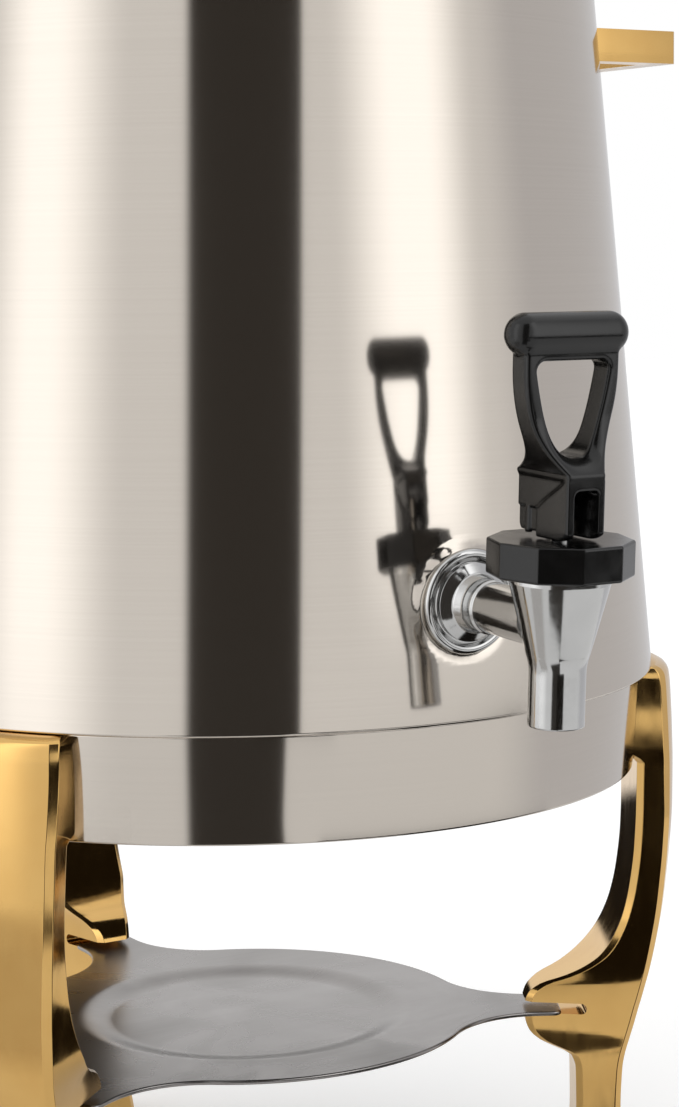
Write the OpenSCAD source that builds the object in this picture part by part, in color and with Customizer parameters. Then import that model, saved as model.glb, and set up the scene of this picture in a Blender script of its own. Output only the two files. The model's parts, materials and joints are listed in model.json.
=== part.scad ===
// Coffee urn: a conical steel vessel on three cast legs, with a lift-off lid,
// a fuel tray held in slots in the legs, two bar handles and a lever tap.
// Origin: on the vessel's axis at floor level. +Z is up and the tap faces -Y.

/* [Vessel] */
// Height of the seam between the vessel and its base band above the floor
seam_z = 205; // [190:1:230]
// Outer radius of the vessel at the seam
body_r = 146; // [136:1:156]
// Height of the vessel wall above the seam
body_h = 300; // [260:1:340]
// How far the wall leans in over its whole height
body_lean = 26; // [15:1:32]
// Thickness of the vessel's sheet steel
sheet = 1; // [0.8:0.1:1.6]
// Radius of the curled bead round the mouth
bead_r = 2.6; // [2:0.1:3.5]
// Height of the bottom pan's upturned rim
pan_rim_h = 12; // [8:1:20]
// Width of the wall's turned-in hem
hem_w = 12; // [10:0.5:16]

/* [Base band] */
// How far the band stands in from the vessel's edge at the seam
band_inset = 4.2; // [2:0.1:7]
// Height of the band
band_h = 34.4; // [30:0.2:44]
// How far the band draws in over its height
band_draw = 2.3; // [1:0.1:4]
// Thickness of the band
band_t = 1.5; // [1.2:0.1:2.5]
// How far the band's top flange reaches in past the hem
flange_lap = 2; // [1:0.5:5]

/* [Legs] */
// How far the leg's outer face stands out from the band at its fullest
leg_out = 13.3; // [11:0.1:16]
// Width of the leg at the top
leg_w = 47.6; // [40:0.2:52]
// Height of the crown across the leg's outer face
leg_crown = 5; // [3:0.5:7]
// Bevel along the leg's edges
leg_bevel = 2.2; // [1.5:0.1:3]
// Reach of the knee inward from the band
knee_in = 40.5; // [36:0.5:44]
// Radius of the leg screws
leg_screw_r = 2.5; // [2:0.1:3]
// Distance of the upper leg screw below the seam
leg_screw_top = 10; // [9:0.5:12]
// Distance between the two screws of a leg
leg_screw_pitch = 15; // [13:0.5:18]

/* [Fuel tray] */
// Height of the tray's top face above the floor
tray_z = 78.3; // [70:0.1:90]
// Thickness of the tray
tray_t = 1.5; // [1:0.1:2.5]
// Radius of the tray's disc
tray_r = 81.8; // [76:0.2:88]
// Width of a tray tab
tab_w = 23.8; // [20:0.2:28]
// Distance of a tab's end inside the band
tab_in = 27.8; // [24:0.2:32]
// Radius of the hollow curve between the disc and a tab
tab_fillet = 34; // [26:1:38]
// Radius of the round dish in the tray
dish_r = 58; // [50:1:64]
// Depth of the dish
dish_depth = 2; // [1:0.5:3]
// Clear height of the slot in a leg above the tab
slot_clear = 2.4; // [1:0.1:3]

/* [Side handles] */
// Height of the handle's middle above the seam
handle_z = 217; // [190:1:230]
// Length of the handle along the vessel
handle_l = 90; // [70:1:110]
// Height of the handle's bar
handle_bar_h = 11.6; // [9:0.2:14]
// Thickness of the handle's bar
handle_bar_t = 10; // [8:0.5:12]
// How far the handle stands out from the wall
handle_out = 34.8; // [26:0.2:42]
// Radius of the handle screws
handle_screw_r = 2; // [1.6:0.1:2.3]
// Thickness of the pad under a handle foot
handle_pad_t = 1.6; // [1:0.1:3]

/* [Lid] */
// Height of the dome above the lid's edge
dome_h = 36; // [25:1:50]
// Height of the upright step between the lid's edge and its dome
lid_step = 9; // [5:1:15]
// Thickness of the lid's sheet
lid_t = 1; // [0.8:0.1:1.6]
// Radius of the lid screws
lid_screw_r = 2; // [1.6:0.1:2.5]
// Depth of the lid's locating skirt
skirt_h = 12; // [8:1:20]
// Length of the lid's handle
lid_handle_l = 80; // [60:1:100]
// Height of the lid's handle above the dome's top
lid_handle_h = 32; // [26:1:40]

/* [Tap] */
// Height of the tap's flange above the seam
tap_z = 37.4; // [32:0.2:44]
// Distance from the flange seat to the tap's upright axis
tap_standoff = 47.2; // [42:0.2:54]
// Angle at which the tap droops from level
tap_droop = 2.8; // [0:0.2:4]
// Radius of the shank
shank_r = 7.9; // [7:0.1:9]
// Radius of the passage through the shank
shank_bore = 4.8; // [3.5:0.1:5.2]
// Outer radius of the spout
spout_r = 8.5; // [7.5:0.1:9.5]
// Radius of the spout's outlet
outlet_r = 6.2; // [5:0.1:7]
// Distance from the shank's axis down to the spout's mouth
spout_drop = 29.8; // [26:0.2:34]
// Outer radius of the funnel under the nut
funnel_r = 15; // [14:0.1:16]
// Radius of the flange on the vessel
flange_r = 16.5; // [15:0.5:18]
// Radius of the bonnet nut over its corners
nut_r = 21.65; // [20:0.05:24]
// Height of the bonnet nut
nut_h = 10.8; // [9:0.2:13]
// Distance from the shank's axis up to the nut's underside
nut_z = 15; // [14:0.2:17]

/* [Lever] */
// Distance from the lever's heel up to its pin
heel_drop = 8.3; // [8:0.1:9]
// Lift of the stem for each radian of the lever
lift_per_rad = 6; // [5:0.1:6.2]
// Full travel of the lever in degrees
lever_travel = 35; // [25:1:35]
// Gap between the heel and the bonnet nut
heel_gap = 0.1; // [0.05:0.05:0.3]
// Width of the lever's lower block
block_w = 13.4; // [12.6:0.1:15]
// Height of the lever's lower block
block_h = 19.5; // [18:0.5:22]
// Width of the loop's outline at the grip
loop_w = 33; // [30:0.5:37]
// Thickness of the loop's arms across
arm_w = 3.2; // [2.6:0.1:4]
// Depth of the loop's arms front to back
arm_d = 8.6; // [7:0.1:10]
// Distance from the shank's axis up to the grip's middle
grip_z = 85.1; // [82:0.2:92]
// Radius of the grip
grip_r = 6.2; // [5.5:0.1:7]
// Length of the grip
grip_l = 41; // [38:0.5:46]

/* [Hidden] */
$fn = 128;
eps = 0.01;
joint_gap = 0.3;
screw_gap = 0.05;

steel = [0.78, 0.76, 0.74];
gold = [0.80, 0.62, 0.30];
chrome = [0.82, 0.83, 0.85];
black = [0.05, 0.05, 0.05];
rubber = [0.85, 0.85, 0.82];

// Vessel wall
mouth_z = seam_z + body_h;
mouth_r = body_r - body_lean;
lean_angle = atan(body_lean / body_h);
function wall_r(z) = body_r - body_lean * (z - seam_z) / body_h;
function inner_wall_r(z) = wall_r(z) - sheet / cos(lean_angle);

// Base band
band_r = body_r - band_inset;
hem_r = body_r - hem_w;
flange_in_r = hem_r - flange_lap;
band_foot_z = seam_z - band_h;
band_angle = atan(band_draw / band_h);
function band_at(z) = band_r - band_draw * (seam_z - z) / band_h;

// Tray and leg slots
tray_under = tray_z - tray_t;
slot_h = tray_t + slot_clear;
tab_reach = band_r - tab_in;
slot_reach = tab_reach + 9;

// Tap heights along the tap's own upright axis, measured from the shank's axis
bonnet_top = nut_z + nut_h;
nut_wall = 3.6;
gasket_t = 1.2;
gasket_z = bonnet_top - nut_wall - gasket_t;
seat_z = -6;
seat_gap = 0.05;
cup_h = 6;
collar_z = 6;
collar_t = 1.5;
heel_z = bonnet_top + heel_gap;
pin_z = heel_z + heel_drop;
pin_r = 1.5;
stem_r = 3;
head_r = 4;
slot_half = head_r + joint_gap;
block_top = heel_z + block_h;

// Tap places along the shank, measured inward from the flange seat
boss_r = flange_r + 2;
boss_t = 4;
outer_gasket_t = 1.5;
flange_t = 1.2;
shoulder_r = 12.3;
shoulder_t = 2;
hub_l = 10;
inner_gasket_t = 2;
washer_t = 1.5;
locknut_t = 6;
shank_end = boss_t + inner_gasket_t + washer_t + locknut_t + 3;
shank_hole_r = shank_r + joint_gap;

// ---------------------------------------------------------------- helpers

// Points of an arc about c, from angle a to angle b
function arc(c, r, a, b, n) = [for (i = [0:n]) c + r * [cos(a + (b - a) * i / n), sin(a + (b - a) * i / n)]];

// A quadrilateral band of faces between two rings of n points, cut into triangles
function band_faces(k, n) = [
    for (i = [0:n - 1]) let (j = (i + 1) % n)
    each [[k * n + i, k * n + j, (k + 1) * n + j], [k * n + i, (k + 1) * n + j, (k + 1) * n + i]]
];

// Places children on the vessel wall at height z, with +Z along the wall's outward normal
module on_wall(z) {
    translate([wall_r(z), 0, z]) rotate([0, 90 - lean_angle, 0]) children();
}

// Places children on the band at height z behind the rear leg, with +Z along its outward normal
module on_band(z) {
    translate([0, band_at(z), z]) rotate([-90 - band_angle, 0, 0]) children();
}

// Places children at the flange seat, with -Y outward along the shank and +Z up the tap
module at_flange() {
    translate([0, -wall_r(seam_z + tap_z), seam_z + tap_z]) rotate([tap_droop, 0, 0]) children();
}

// Places children at the crossing of the shank's axis and the tap's upright axis
module at_tap() {
    at_flange() translate([0, -tap_standoff, 0]) children();
}

// A cylinder along Y from y0 to y1
module along_y(r, y0, y1) {
    translate([0, y1, 0]) rotate([90, 0, 0]) cylinder(r = r, h = y1 - y0);
}

// Pan-head screw: the head's underside at z = 0 and the shaft along +Z
module pan_screw(r, l, head_h) {
    cylinder(r = r, h = l, $fn = 32);
    difference() {
        translate([0, 0, -head_h]) cylinder(r1 = r * 1.5, r2 = r * 1.9, h = head_h, $fn = 32);
        for (a = [0, 90]) rotate([0, 0, a]) cube([r * 2.2, r * 0.45, head_h * 2.9], center = true);
    }
}

// A hole that is long enough to pass through a sheet on both sides of z = 0
module through_hole(r) {
    cylinder(r = r, h = 8 * r, center = true, $fn = 32);
}

module flat_washer(r_out, r_in, t) {
    difference() {
        cylinder(r = r_out, h = t, $fn = 48);
        translate([0, 0, -1]) cylinder(r = r_in, h = t + 2, $fn = 48);
    }
}

module for_legs() {
    for (a = [0, 120, -120]) rotate([0, 0, a]) children();
}

// ---------------------------------------------------------------- vessel

module shell_profile() {
    polygon([
        [hem_r, seam_z],
        [body_r, seam_z],
        [mouth_r, mouth_z],
        [mouth_r - sheet / cos(lean_angle), mouth_z],
        [inner_wall_r(seam_z + sheet), seam_z + sheet],
        [hem_r, seam_z + sheet]
    ]);
}

module vessel_solid(top) {
    rotate_extrude() polygon([[0, seam_z], [body_r, seam_z], [wall_r(top), top], [0, top]]);
}

boss_ring = boss_r + 1.5;

module body_shell() {
    color(steel) difference() {
        union() {
            rotate_extrude() shell_profile();
            translate([0, 0, mouth_z]) rotate_extrude()
                translate([mouth_r + bead_r - sheet, 0]) circle(r = bead_r, $fn = 32);
            intersection() {
                vessel_solid(seam_z + 2 * tap_z);
                at_flange() along_y(boss_ring, -6, boss_t);
            }
            at_flange() along_y(boss_ring, 0, boss_t);
        }
        at_flange() along_y(boss_r, -12, 0);
        at_flange() along_y(shank_hole_r, -12, 30);
        for_handle_feet() through_hole(handle_screw_r + joint_gap);
    }
}

module body_bottom() {
    rim_top = seam_z + sheet + pan_rim_h;
    floor_z = seam_z + sheet;
    corner = 6;
    color(steel) rotate_extrude() polygon([
        [0, floor_z + 2],
        [body_r * 0.6, floor_z + 1],
        [hem_r, floor_z],
        [inner_wall_r(floor_z) - corner, floor_z],
        [inner_wall_r(floor_z + corner), floor_z + corner],
        [inner_wall_r(rim_top), rim_top],
        [inner_wall_r(rim_top) - sheet, rim_top],
        [inner_wall_r(floor_z + corner) - sheet, floor_z + corner + sheet / 2],
        [inner_wall_r(floor_z) - corner - sheet / 2, floor_z + sheet],
        [hem_r, floor_z + sheet],
        [body_r * 0.6, floor_z + 1 + sheet],
        [0, floor_z + 2 + sheet]
    ]);
}

module base_band() {
    color(steel) difference() {
        rotate_extrude() polygon([
            [flange_in_r, seam_z],
            [band_r, seam_z],
            [band_at(band_foot_z), band_foot_z],
            [band_at(band_foot_z) - band_t, band_foot_z],
            [band_at(seam_z - band_t) - band_t, seam_z - band_t],
            [flange_in_r, seam_z - band_t]
        ]);
        for_legs() leg_screw_places() through_hole(leg_screw_r + joint_gap);
    }
}

// ---------------------------------------------------------------- legs

module leg_screw_places() {
    for (d = [leg_screw_top, leg_screw_top + leg_screw_pitch]) on_band(seam_z - d) children();
}

leg_top = seam_z - joint_gap;
leg_face = band_r + leg_out;
knee_r = band_r - knee_in;
leg_half = leg_w / 2;

// Sections of the leg from top to sole, each
// [height, outer reach, outer half width, inner reach, inner half width].
// The top follows the seam, the knee follows the tray and the foot follows the floor.
leg_sections = [
    [leg_top, leg_face - 5.5, leg_half - 1.8, band_r - 8, leg_half - 2.4],
    [leg_top - 1.2, leg_face - 3, leg_half - 0.8, band_r - 8, leg_half - 1.4],
    [leg_top - 3.4, leg_face - 1.6, leg_half - 0.2, band_r - 8, leg_half - 0.6],
    [seam_z - 12, leg_face - 0.8, leg_half, band_r - 8, leg_half - 0.6],
    [seam_z - 30, leg_face - 0.1, leg_half - 0.8, band_r - 8, leg_half - 1.4],
    [band_foot_z - 0.4, leg_face, leg_half - 1.2, band_r - 2.2, leg_half - 1.8],
    [tray_z + 76, leg_face - 0.1, leg_half - 2, band_r - 2.3, leg_half - 2.9],
    [tray_z + 62, leg_face - 0.9, leg_half - 3.1, band_r - 2.8, leg_half - 3.8],
    [tray_z + 47, leg_face - 2.4, leg_half - 4.6, band_r - 4.5, leg_half - 4.4],
    [tray_z + 37, leg_face - 3.7, leg_half - 5.7, band_r - 6.7, leg_half - 4.7],
    [tray_z + 29, leg_face - 5.1, leg_half - 6.6, band_r - 9.8, leg_half - 5],
    [tray_z + 22, leg_face - 6.5, leg_half - 7.4, band_r - 14.3, leg_half - 5.8],
    [tray_z + 17, leg_face - 7.6, leg_half - 8, band_r - 19.8, 15.5],
    [tray_z + 13, leg_face - 8.6, leg_half - 8.4, band_r - 26.3, 12.4],
    [tray_z + 9, leg_face - 9.7, leg_half - 8.7, knee_r + 5.2, 9],
    [tray_z + 5, leg_face - 10.8, leg_half - 9, knee_r + 1.1, 7.4],
    [tray_z + 1, leg_face - 12, leg_half - 9.3, knee_r, 7],
    [tray_z - 4.5, leg_face - 13.5, leg_half - 9.6, knee_r + 0.3, 7],
    [tray_z - 8.5, leg_face - 14.7, leg_half - 9.8, knee_r + 1.7, 7.5],
    [tray_z - 11.5, leg_face - 15.6, leg_half - 9.9, knee_r + 5.2, 8.8],
    [tray_z - 13.5, leg_face - 16.2, leg_half - 10, knee_r + 9.8, 10.2],
    [tray_z - 16.5, leg_face - 17, leg_half - 10.1, knee_r + 16.2, 11.6],
    [tray_z - 21.5, leg_face - 17.8, leg_half - 10.2, knee_r + 17.8, 12],
    [40, leg_face - 18.5, leg_half - 10.3, knee_r + 18, 12],
    [27, leg_face - 17.4, leg_half - 9.5, knee_r + 17.4, 12.6],
    [15, leg_face - 13.2, leg_half - 7.6, knee_r + 16.6, 14],
    [8, leg_face - 9.2, leg_half - 6, knee_r + 16, 15.2],
    [2.5, leg_face - 7.6, leg_half - 5.4, knee_r + 15.8, 15.8],
    [0, leg_face - 9.4, leg_half - 6.8, knee_r + 17, 14.6]
];

// Plan outline of one section, with the radius along +Y and the outer face crowned
function leg_ring(s) =
    let (z = s[0], out = s[1], w = s[2], in = s[3], v = s[4], b = leg_bevel)
    let (edge = out - leg_crown * pow((w - b) / leg_half, 2))
    [
        [v - b, in, z], [v, in + b, z],
        [w, edge - b, z], [w - b, edge, z],
        [w * 0.62, out - leg_crown * pow(w * 0.62 / leg_half, 2), z],
        [w * 0.3, out - leg_crown * pow(w * 0.3 / leg_half, 2), z],
        [-w * 0.3, out - leg_crown * pow(w * 0.3 / leg_half, 2), z],
        [-w * 0.62, out - leg_crown * pow(w * 0.62 / leg_half, 2), z],
        [b - w, edge, z], [-w, edge - b, z],
        [-v, in + b, z], [b - v, in, z]
    ];

module leg_casting() {
    n = 12;
    count = len(leg_sections);
    points = [for (s = leg_sections) each leg_ring(s)];
    sides = [for (k = [0:count - 2]) each band_faces(k, n)];
    top = [[for (i = [n - 1:-1:0]) i]];
    sole = [[for (i = [0:n - 1]) (count - 1) * n + i]];
    polyhedron(points = points, faces = concat(top, sides, sole));
}

leg_bore_l = 9;

module leg() {
    color(gold) difference() {
        leg_casting();
        // Seat against the band
        rotate_extrude() polygon([
            [0, seam_z + 1], [band_at(seam_z + 1) + screw_gap, seam_z + 1],
            [band_at(band_foot_z - eps) + screw_gap, band_foot_z - eps], [0, band_foot_z - eps]
        ]);
        // Slot for the tray's tab, open inward and through both flanks
        translate([-40, 0, tray_under]) cube([80, slot_reach - slot_h / 2, slot_h]);
        translate([0, slot_reach - slot_h / 2, tray_under + slot_h / 2])
            rotate([0, 90, 0]) cylinder(r = slot_h / 2, h = 80, center = true, $fn = 48);
        leg_screw_places() translate([0, 0, -eps]) cylinder(r = leg_screw_r + screw_gap, h = leg_bore_l, $fn = 32);
    }
}

module leg_rear() leg();
module leg_front_left() rotate([0, 0, 120]) leg();
module leg_front_right() rotate([0, 0, -120]) leg();

leg_washer_t = 1.2;
leg_washer_r = 5.5;
// Depth of the washer's seat below the band's outer face, with the band's curve across the washer
leg_washer_in = band_t + pow(leg_washer_r, 2) / (2 * (band_r - band_draw)) + leg_washer_t + screw_gap;

module leg_screws() {
    color(chrome) for_legs() leg_screw_places()
        translate([0, 0, -leg_washer_in]) pan_screw(leg_screw_r, leg_washer_in + leg_bore_l - 1, 3);
}

module leg_washers() {
    color(chrome) for_legs() leg_screw_places()
        translate([0, 0, -leg_washer_in]) flat_washer(leg_washer_r, leg_screw_r + joint_gap, leg_washer_t);
}

// ---------------------------------------------------------------- fuel tray

tab_half = tab_w / 2;
tab_corner = 3;
fillet_x = tab_half + tab_fillet;
fillet_y = sqrt(pow(tray_r + tab_fillet, 2) - pow(fillet_x, 2));
fillet_turn = atan(fillet_x / fillet_y);

// One third of the tray's outline, round the tab that points along +Y, from right to left
tray_third = concat(
    arc([fillet_x, fillet_y], tab_fillet, 270 - fillet_turn, 180, 10),
    arc([tab_half - tab_corner, tab_reach - tab_corner], tab_corner, 0, 90, 4),
    arc([tab_corner - tab_half, tab_reach - tab_corner], tab_corner, 90, 180, 4),
    arc([-fillet_x, fillet_y], tab_fillet, 0, fillet_turn - 90, 10),
    arc([0, 0], tray_r, 90 + fillet_turn + 6, 210 - fillet_turn - 6, 8)
);

function turned(p, a) = [p[0] * cos(a) - p[1] * sin(a), p[0] * sin(a) + p[1] * cos(a)];

module fuel_tray() {
    outline = [for (a = [0, 120, 240]) each [for (p = tray_third) turned(p, a)]];
    dish_in = dish_r - 3 * dish_depth;
    color(steel) {
        translate([0, 0, tray_under]) linear_extrude(tray_t) difference() {
            polygon(outline);
            circle(r = dish_r);
        }
        rotate_extrude() polygon([
            [0, tray_z - dish_depth], [dish_in, tray_z - dish_depth], [dish_r, tray_z],
            [dish_r, tray_under], [dish_in, tray_under - dish_depth], [0, tray_under - dish_depth]
        ]);
    }
}

// ---------------------------------------------------------------- side handles

handle_screw_in = 7;
handle_screw_shift = 1.3;
handle_mid_z = seam_z + handle_z;
handle_reach = wall_r(handle_mid_z) + handle_out;
handle_root = wall_r(handle_mid_z) - 1.3 * handle_bar_t;
foot_dy = handle_l / 2 - handle_bar_t / 2;

// Places children on the wall behind one foot of the right handle, with +Z along the wall's normal
module handle_foot_place(dy) {
    turn = asin((foot_dy - handle_screw_shift) / wall_r(handle_mid_z));
    rotate([0, 0, dy * turn]) on_wall(handle_mid_z) children();
}

// A square-cornered C of bar, with small chamfers on its outer corners
module bar_handle(l, reach, root, t, h) {
    c = 1.2;
    translate([0, 0, -h / 2]) linear_extrude(h) polygon([
        [root, -l / 2], [reach - c, -l / 2], [reach, c - l / 2],
        [reach, l / 2 - c], [reach - c, l / 2], [root, l / 2],
        [root, l / 2 - t], [reach - t, l / 2 - t], [reach - t, t - l / 2], [root, t - l / 2]
    ]);
}

module handle_right() {
    color(gold) difference() {
        translate([0, 0, handle_mid_z])
            bar_handle(handle_l, handle_reach, handle_root, handle_bar_t, handle_bar_h);
        grown_vessel(handle_pad_t);
        for (dy = [-1, 1]) handle_foot_place(dy)
            cylinder(r = handle_screw_r + screw_gap, h = handle_pad_t + handle_screw_in, $fn = 32);
    }
}

module handle_left() rotate([0, 0, 180]) handle_right();

// The vessel's outer form, grown outward by g
module grown_vessel(g) {
    rotate_extrude() polygon([[0, seam_z], [body_r + g, seam_z], [mouth_r + g, mouth_z], [0, mouth_z]]);
}

// Thin pads between the handle feet and the wall, a little larger than the feet
pad_lip = 1.3;

module handle_pads() {
    pad_h = handle_bar_h + 2 * pad_lip;
    pad_w = handle_bar_t + pad_lip;
    color(gold) for (side = [0, 180], dy = [-1, 1]) rotate([0, 0, side]) difference() {
        intersection() {
            grown_vessel(handle_pad_t);
            translate([handle_root, dy * foot_dy - pad_w / 2, handle_mid_z - pad_h / 2])
                cube([handle_out, pad_w, pad_h]);
        }
        grown_vessel(0);
        handle_foot_place(dy) through_hole(handle_screw_r + joint_gap);
    }
}

handle_washer_t = 1;
handle_washer_r = 4.5;
// Depth of the washer's seat below the wall's outer face, with the wall's curve across the washer
handle_washer_in = sheet + pow(handle_washer_r, 2) / (2 * mouth_r) + handle_washer_t + screw_gap;

module for_handle_feet() {
    for (side = [0, 180], dy = [-1, 1]) rotate([0, 0, side]) handle_foot_place(dy) children();
}

module handle_screws() {
    color(chrome) for_handle_feet() translate([0, 0, -handle_washer_in])
        pan_screw(handle_screw_r, handle_washer_in + handle_pad_t + handle_screw_in - 1, 2.6);
}

module handle_washers() {
    color(chrome) for_handle_feet() translate([0, 0, -handle_washer_in])
        flat_washer(handle_washer_r, handle_screw_r + joint_gap, handle_washer_t);
}

// ---------------------------------------------------------------- lid

lid_z = mouth_z + bead_r + 0.2;
lid_edge_r = mouth_r + 2 * bead_r + 1.2;
dome_r = mouth_r - 3;
dome_z = lid_z + lid_step;

// Half of the dome's curve from the rim to the centre, shrunk inward by g
function dome_curve(g, n) = [
    for (i = [0:n]) let (a = 90 * i / n) [(dome_r - g) * cos(a), dome_z + (dome_h - g) * sin(a)]
];

module dome_solid(g) {
    rotate_extrude() polygon(concat([[0, lid_z]], [[dome_r - g, lid_z]], dome_curve(g, 24)));
}

module lid_shell() {
    edge_drop = 3;
    outer = concat(
        [[lid_edge_r, lid_z - edge_drop]],
        [[lid_edge_r, lid_z + lid_t - 0.8], [lid_edge_r - 0.8, lid_z + lid_t], [dome_r, lid_z + lid_t]],
        dome_curve(0, 24)
    );
    inner = concat(
        [[lid_edge_r - lid_t, lid_z - edge_drop]],
        [[lid_edge_r - lid_t, lid_z], [dome_r - lid_t, lid_z]],
        dome_curve(lid_t, 24)
    );
    color(steel) difference() {
        rotate_extrude() polygon(concat(outer, [for (i = [len(inner) - 1:-1:0]) inner[i]]));
        for (dx = [-1, 1]) translate([dx * lid_foot_dx, 0, dome_z])
            cylinder(r = lid_screw_r + joint_gap, h = dome_h + 5, $fn = 32);
    }
}

// Ring welded under the lid's edge that drops inside the mouth
module lid_skirt() {
    skirt_r = inner_wall_r(mouth_z) - 1.2;
    color(steel) rotate_extrude() polygon([
        [skirt_r, lid_z], [skirt_r, lid_z - skirt_h + 2], [skirt_r - 2, lid_z - skirt_h],
        [skirt_r - 2 - lid_t, lid_z - skirt_h], [skirt_r - lid_t, lid_z - skirt_h + 2],
        [skirt_r - lid_t, lid_z]
    ]);
}

lid_foot_dx = lid_handle_l / 2 - handle_bar_t / 2;
function dome_height(r) = dome_z + dome_h * sqrt(1 - pow(r / dome_r, 2));
lid_screw_in = 9;

module lid_handle() {
    reach = dome_z + dome_h + lid_handle_h;
    color(gold) difference() {
        rotate([90, 0, 0]) rotate([0, 0, 90])
            bar_handle(lid_handle_l, reach, dome_height(lid_handle_l / 2) - 6, handle_bar_t, handle_bar_h);
        dome_solid(0);
        for (dx = [-1, 1]) translate([dx * lid_foot_dx, 0, dome_z])
            cylinder(r = lid_screw_r + screw_gap, h = dome_height(lid_foot_dx) - dome_z + lid_screw_in, $fn = 32);
    }
}

lid_washer_t = 1;
lid_washer_z = dome_height(lid_foot_dx + 4.5) - 1.3 * lid_t - lid_washer_t;

module lid_screws() {
    color(chrome) for (dx = [-1, 1]) translate([dx * lid_foot_dx, 0, lid_washer_z])
        pan_screw(lid_screw_r, dome_height(lid_foot_dx) - lid_washer_z + lid_screw_in - 1.5, 2.6);
}

module lid_washers() {
    color(chrome) difference() {
        for (dx = [-1, 1]) translate([dx * lid_foot_dx, 0, lid_washer_z])
            flat_washer(4.5, lid_screw_r + joint_gap, 4);
        difference() {
            translate([0, 0, dome_z]) cylinder(r = dome_r, h = 2 * dome_h);
            dome_solid(lid_t);
        }
    }
}

// ---------------------------------------------------------------- tap

// Outside of the cast body as a revolved profile: straight spout, hollow sweep, funnel, threaded neck
neck_r = funnel_r + 0.2;
body_rim_z = gasket_z;
funnel_foot_z = -8;
funnel_top_z = nut_z - 2;
chamber_foot_r = 8;
chamber_r = neck_r - 2.2;

module tap_body_outside() {
    sweep = [for (i = [0:6]) let (s = i / 6) [spout_r + 1.1 * s * s, -14 + 6 * s]];
    rotate_extrude() polygon(concat(
        [[0, -spout_drop], [spout_r - 0.4, -spout_drop], [spout_r, 0.4 - spout_drop]],
        sweep,
        [[funnel_r, funnel_top_z], [neck_r, funnel_top_z], [neck_r, body_rim_z], [0, body_rim_z]]
    ));
}

module shank_outside() {
    seat = -outer_gasket_t - flange_t;
    translate([0, tap_standoff, 0]) {
        along_y(shank_r, seat - hub_l - 25, shank_end);
        along_y(shoulder_r, seat - shoulder_t, seat);
        // Hub with a waist, ended by a bead
        rotate([90, 0, 0]) rotate_extrude() polygon([
            [0, -seat], [shank_r + 1, -seat], [shank_r + 0.6, shoulder_t - seat], [shank_r + 0.1, hub_l / 2 - seat],
            [shank_r + 0.5, hub_l - seat], [shank_r + 0.5, hub_l + 1 - seat], [shank_r, hub_l + 1.8 - seat],
            [0, hub_l + 1.8 - seat]
        ]);
    }
}

module tap_body() {
    color(chrome) at_tap() difference() {
        union() {
            tap_body_outside();
            difference() {
                shank_outside();
                translate([0, 0, -spout_drop]) cylinder(r = spout_r - 1.5, h = spout_drop + body_rim_z);
            }
        }
        // Valve chamber, outlet and the passage from the vessel
        rotate_extrude() polygon([
            [0, seat_z], [chamber_foot_r, seat_z], [chamber_r, funnel_top_z], [chamber_r, body_rim_z + 1],
            [0, body_rim_z + 1]
        ]);
        translate([0, 0, -spout_drop - 1]) cylinder(r = outlet_r, h = spout_drop + 2 + seat_z);
        along_y(shank_bore, 0, tap_standoff + shank_end + 1);
    }
}

// Pressed escutcheon with a rolled outer bead
module tap_flange() {
    back = -outer_gasket_t;
    color(chrome) at_flange() rotate([90, 0, 0]) rotate_extrude() polygon(concat(
        [[shank_hole_r, -back], [shoulder_r + 0.2, -back], [flange_r - 1.9, 0.2]],
        arc([flange_r - 1.6, 1.7], 1.6, -80, 120, 10),
        [[flange_r - 2.6, 1.8], [shoulder_r + 0.5, flange_t - back], [shank_hole_r, flange_t - back]]
    ));
}

module tap_gasket_outer() {
    color(rubber) at_flange() difference() {
        along_y(shoulder_r, -outer_gasket_t, 0);
        along_y(shank_hole_r, -outer_gasket_t - 1, 1);
    }
}

module tap_gasket_inner() {
    color(rubber) at_flange() difference() {
        along_y(shoulder_r + 1, boss_t, boss_t + inner_gasket_t);
        along_y(shank_hole_r, boss_t - 1, boss_t + inner_gasket_t + 1);
    }
}

module tap_washer() {
    y0 = boss_t + inner_gasket_t;
    color(chrome) at_flange() difference() {
        along_y(shoulder_r + 0.5, y0, y0 + washer_t);
        along_y(shank_hole_r, y0 - 1, y0 + washer_t + 1);
    }
}

module tap_locknut() {
    y0 = boss_t + inner_gasket_t + washer_t;
    color(chrome) at_flange() difference() {
        translate([0, y0 + locknut_t, 0]) rotate([90, 0, 0]) cylinder(r = shank_r * 1.75, h = locknut_t, $fn = 6);
        along_y(shank_r, y0 - 1, y0 + locknut_t + 1);
    }
}

// Ten-sided bonnet nut with lightly chamfered rims
module bonnet_nut() {
    c = 0.7;
    color(black) at_tap() difference() {
        translate([0, 0, nut_z]) rotate([0, 0, 90 + 18]) rotate_extrude($fn = 10) polygon([
            [0, 0], [nut_r - c, 0], [nut_r, c], [nut_r, nut_h - c], [nut_r - c, nut_h], [0, nut_h]
        ]);
        translate([0, 0, nut_z - 1]) cylinder(r = neck_r, h = gasket_z + gasket_t - nut_z + 1);
        cylinder(r = stem_r + joint_gap, h = bonnet_top + 1, $fn = 48);
    }
}

module bonnet_gasket() {
    color(rubber) at_tap() translate([0, 0, gasket_z]) difference() {
        cylinder(r = neck_r, h = gasket_t);
        translate([0, 0, -1]) cylinder(r = stem_r + 0.05, h = gasket_t + 2, $fn = 48);
    }
}

// Return spring: one unbroken coil of round wire between the stem's collar and the bonnet gasket
spring_wire = 0.6;
spring_mean_r = 5.2;
spring_turns = 6;
spring_low = collar_z + collar_t + spring_wire;
spring_high = gasket_z - spring_wire;
spring_steps = 16;
spring_sides = 6;

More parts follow.
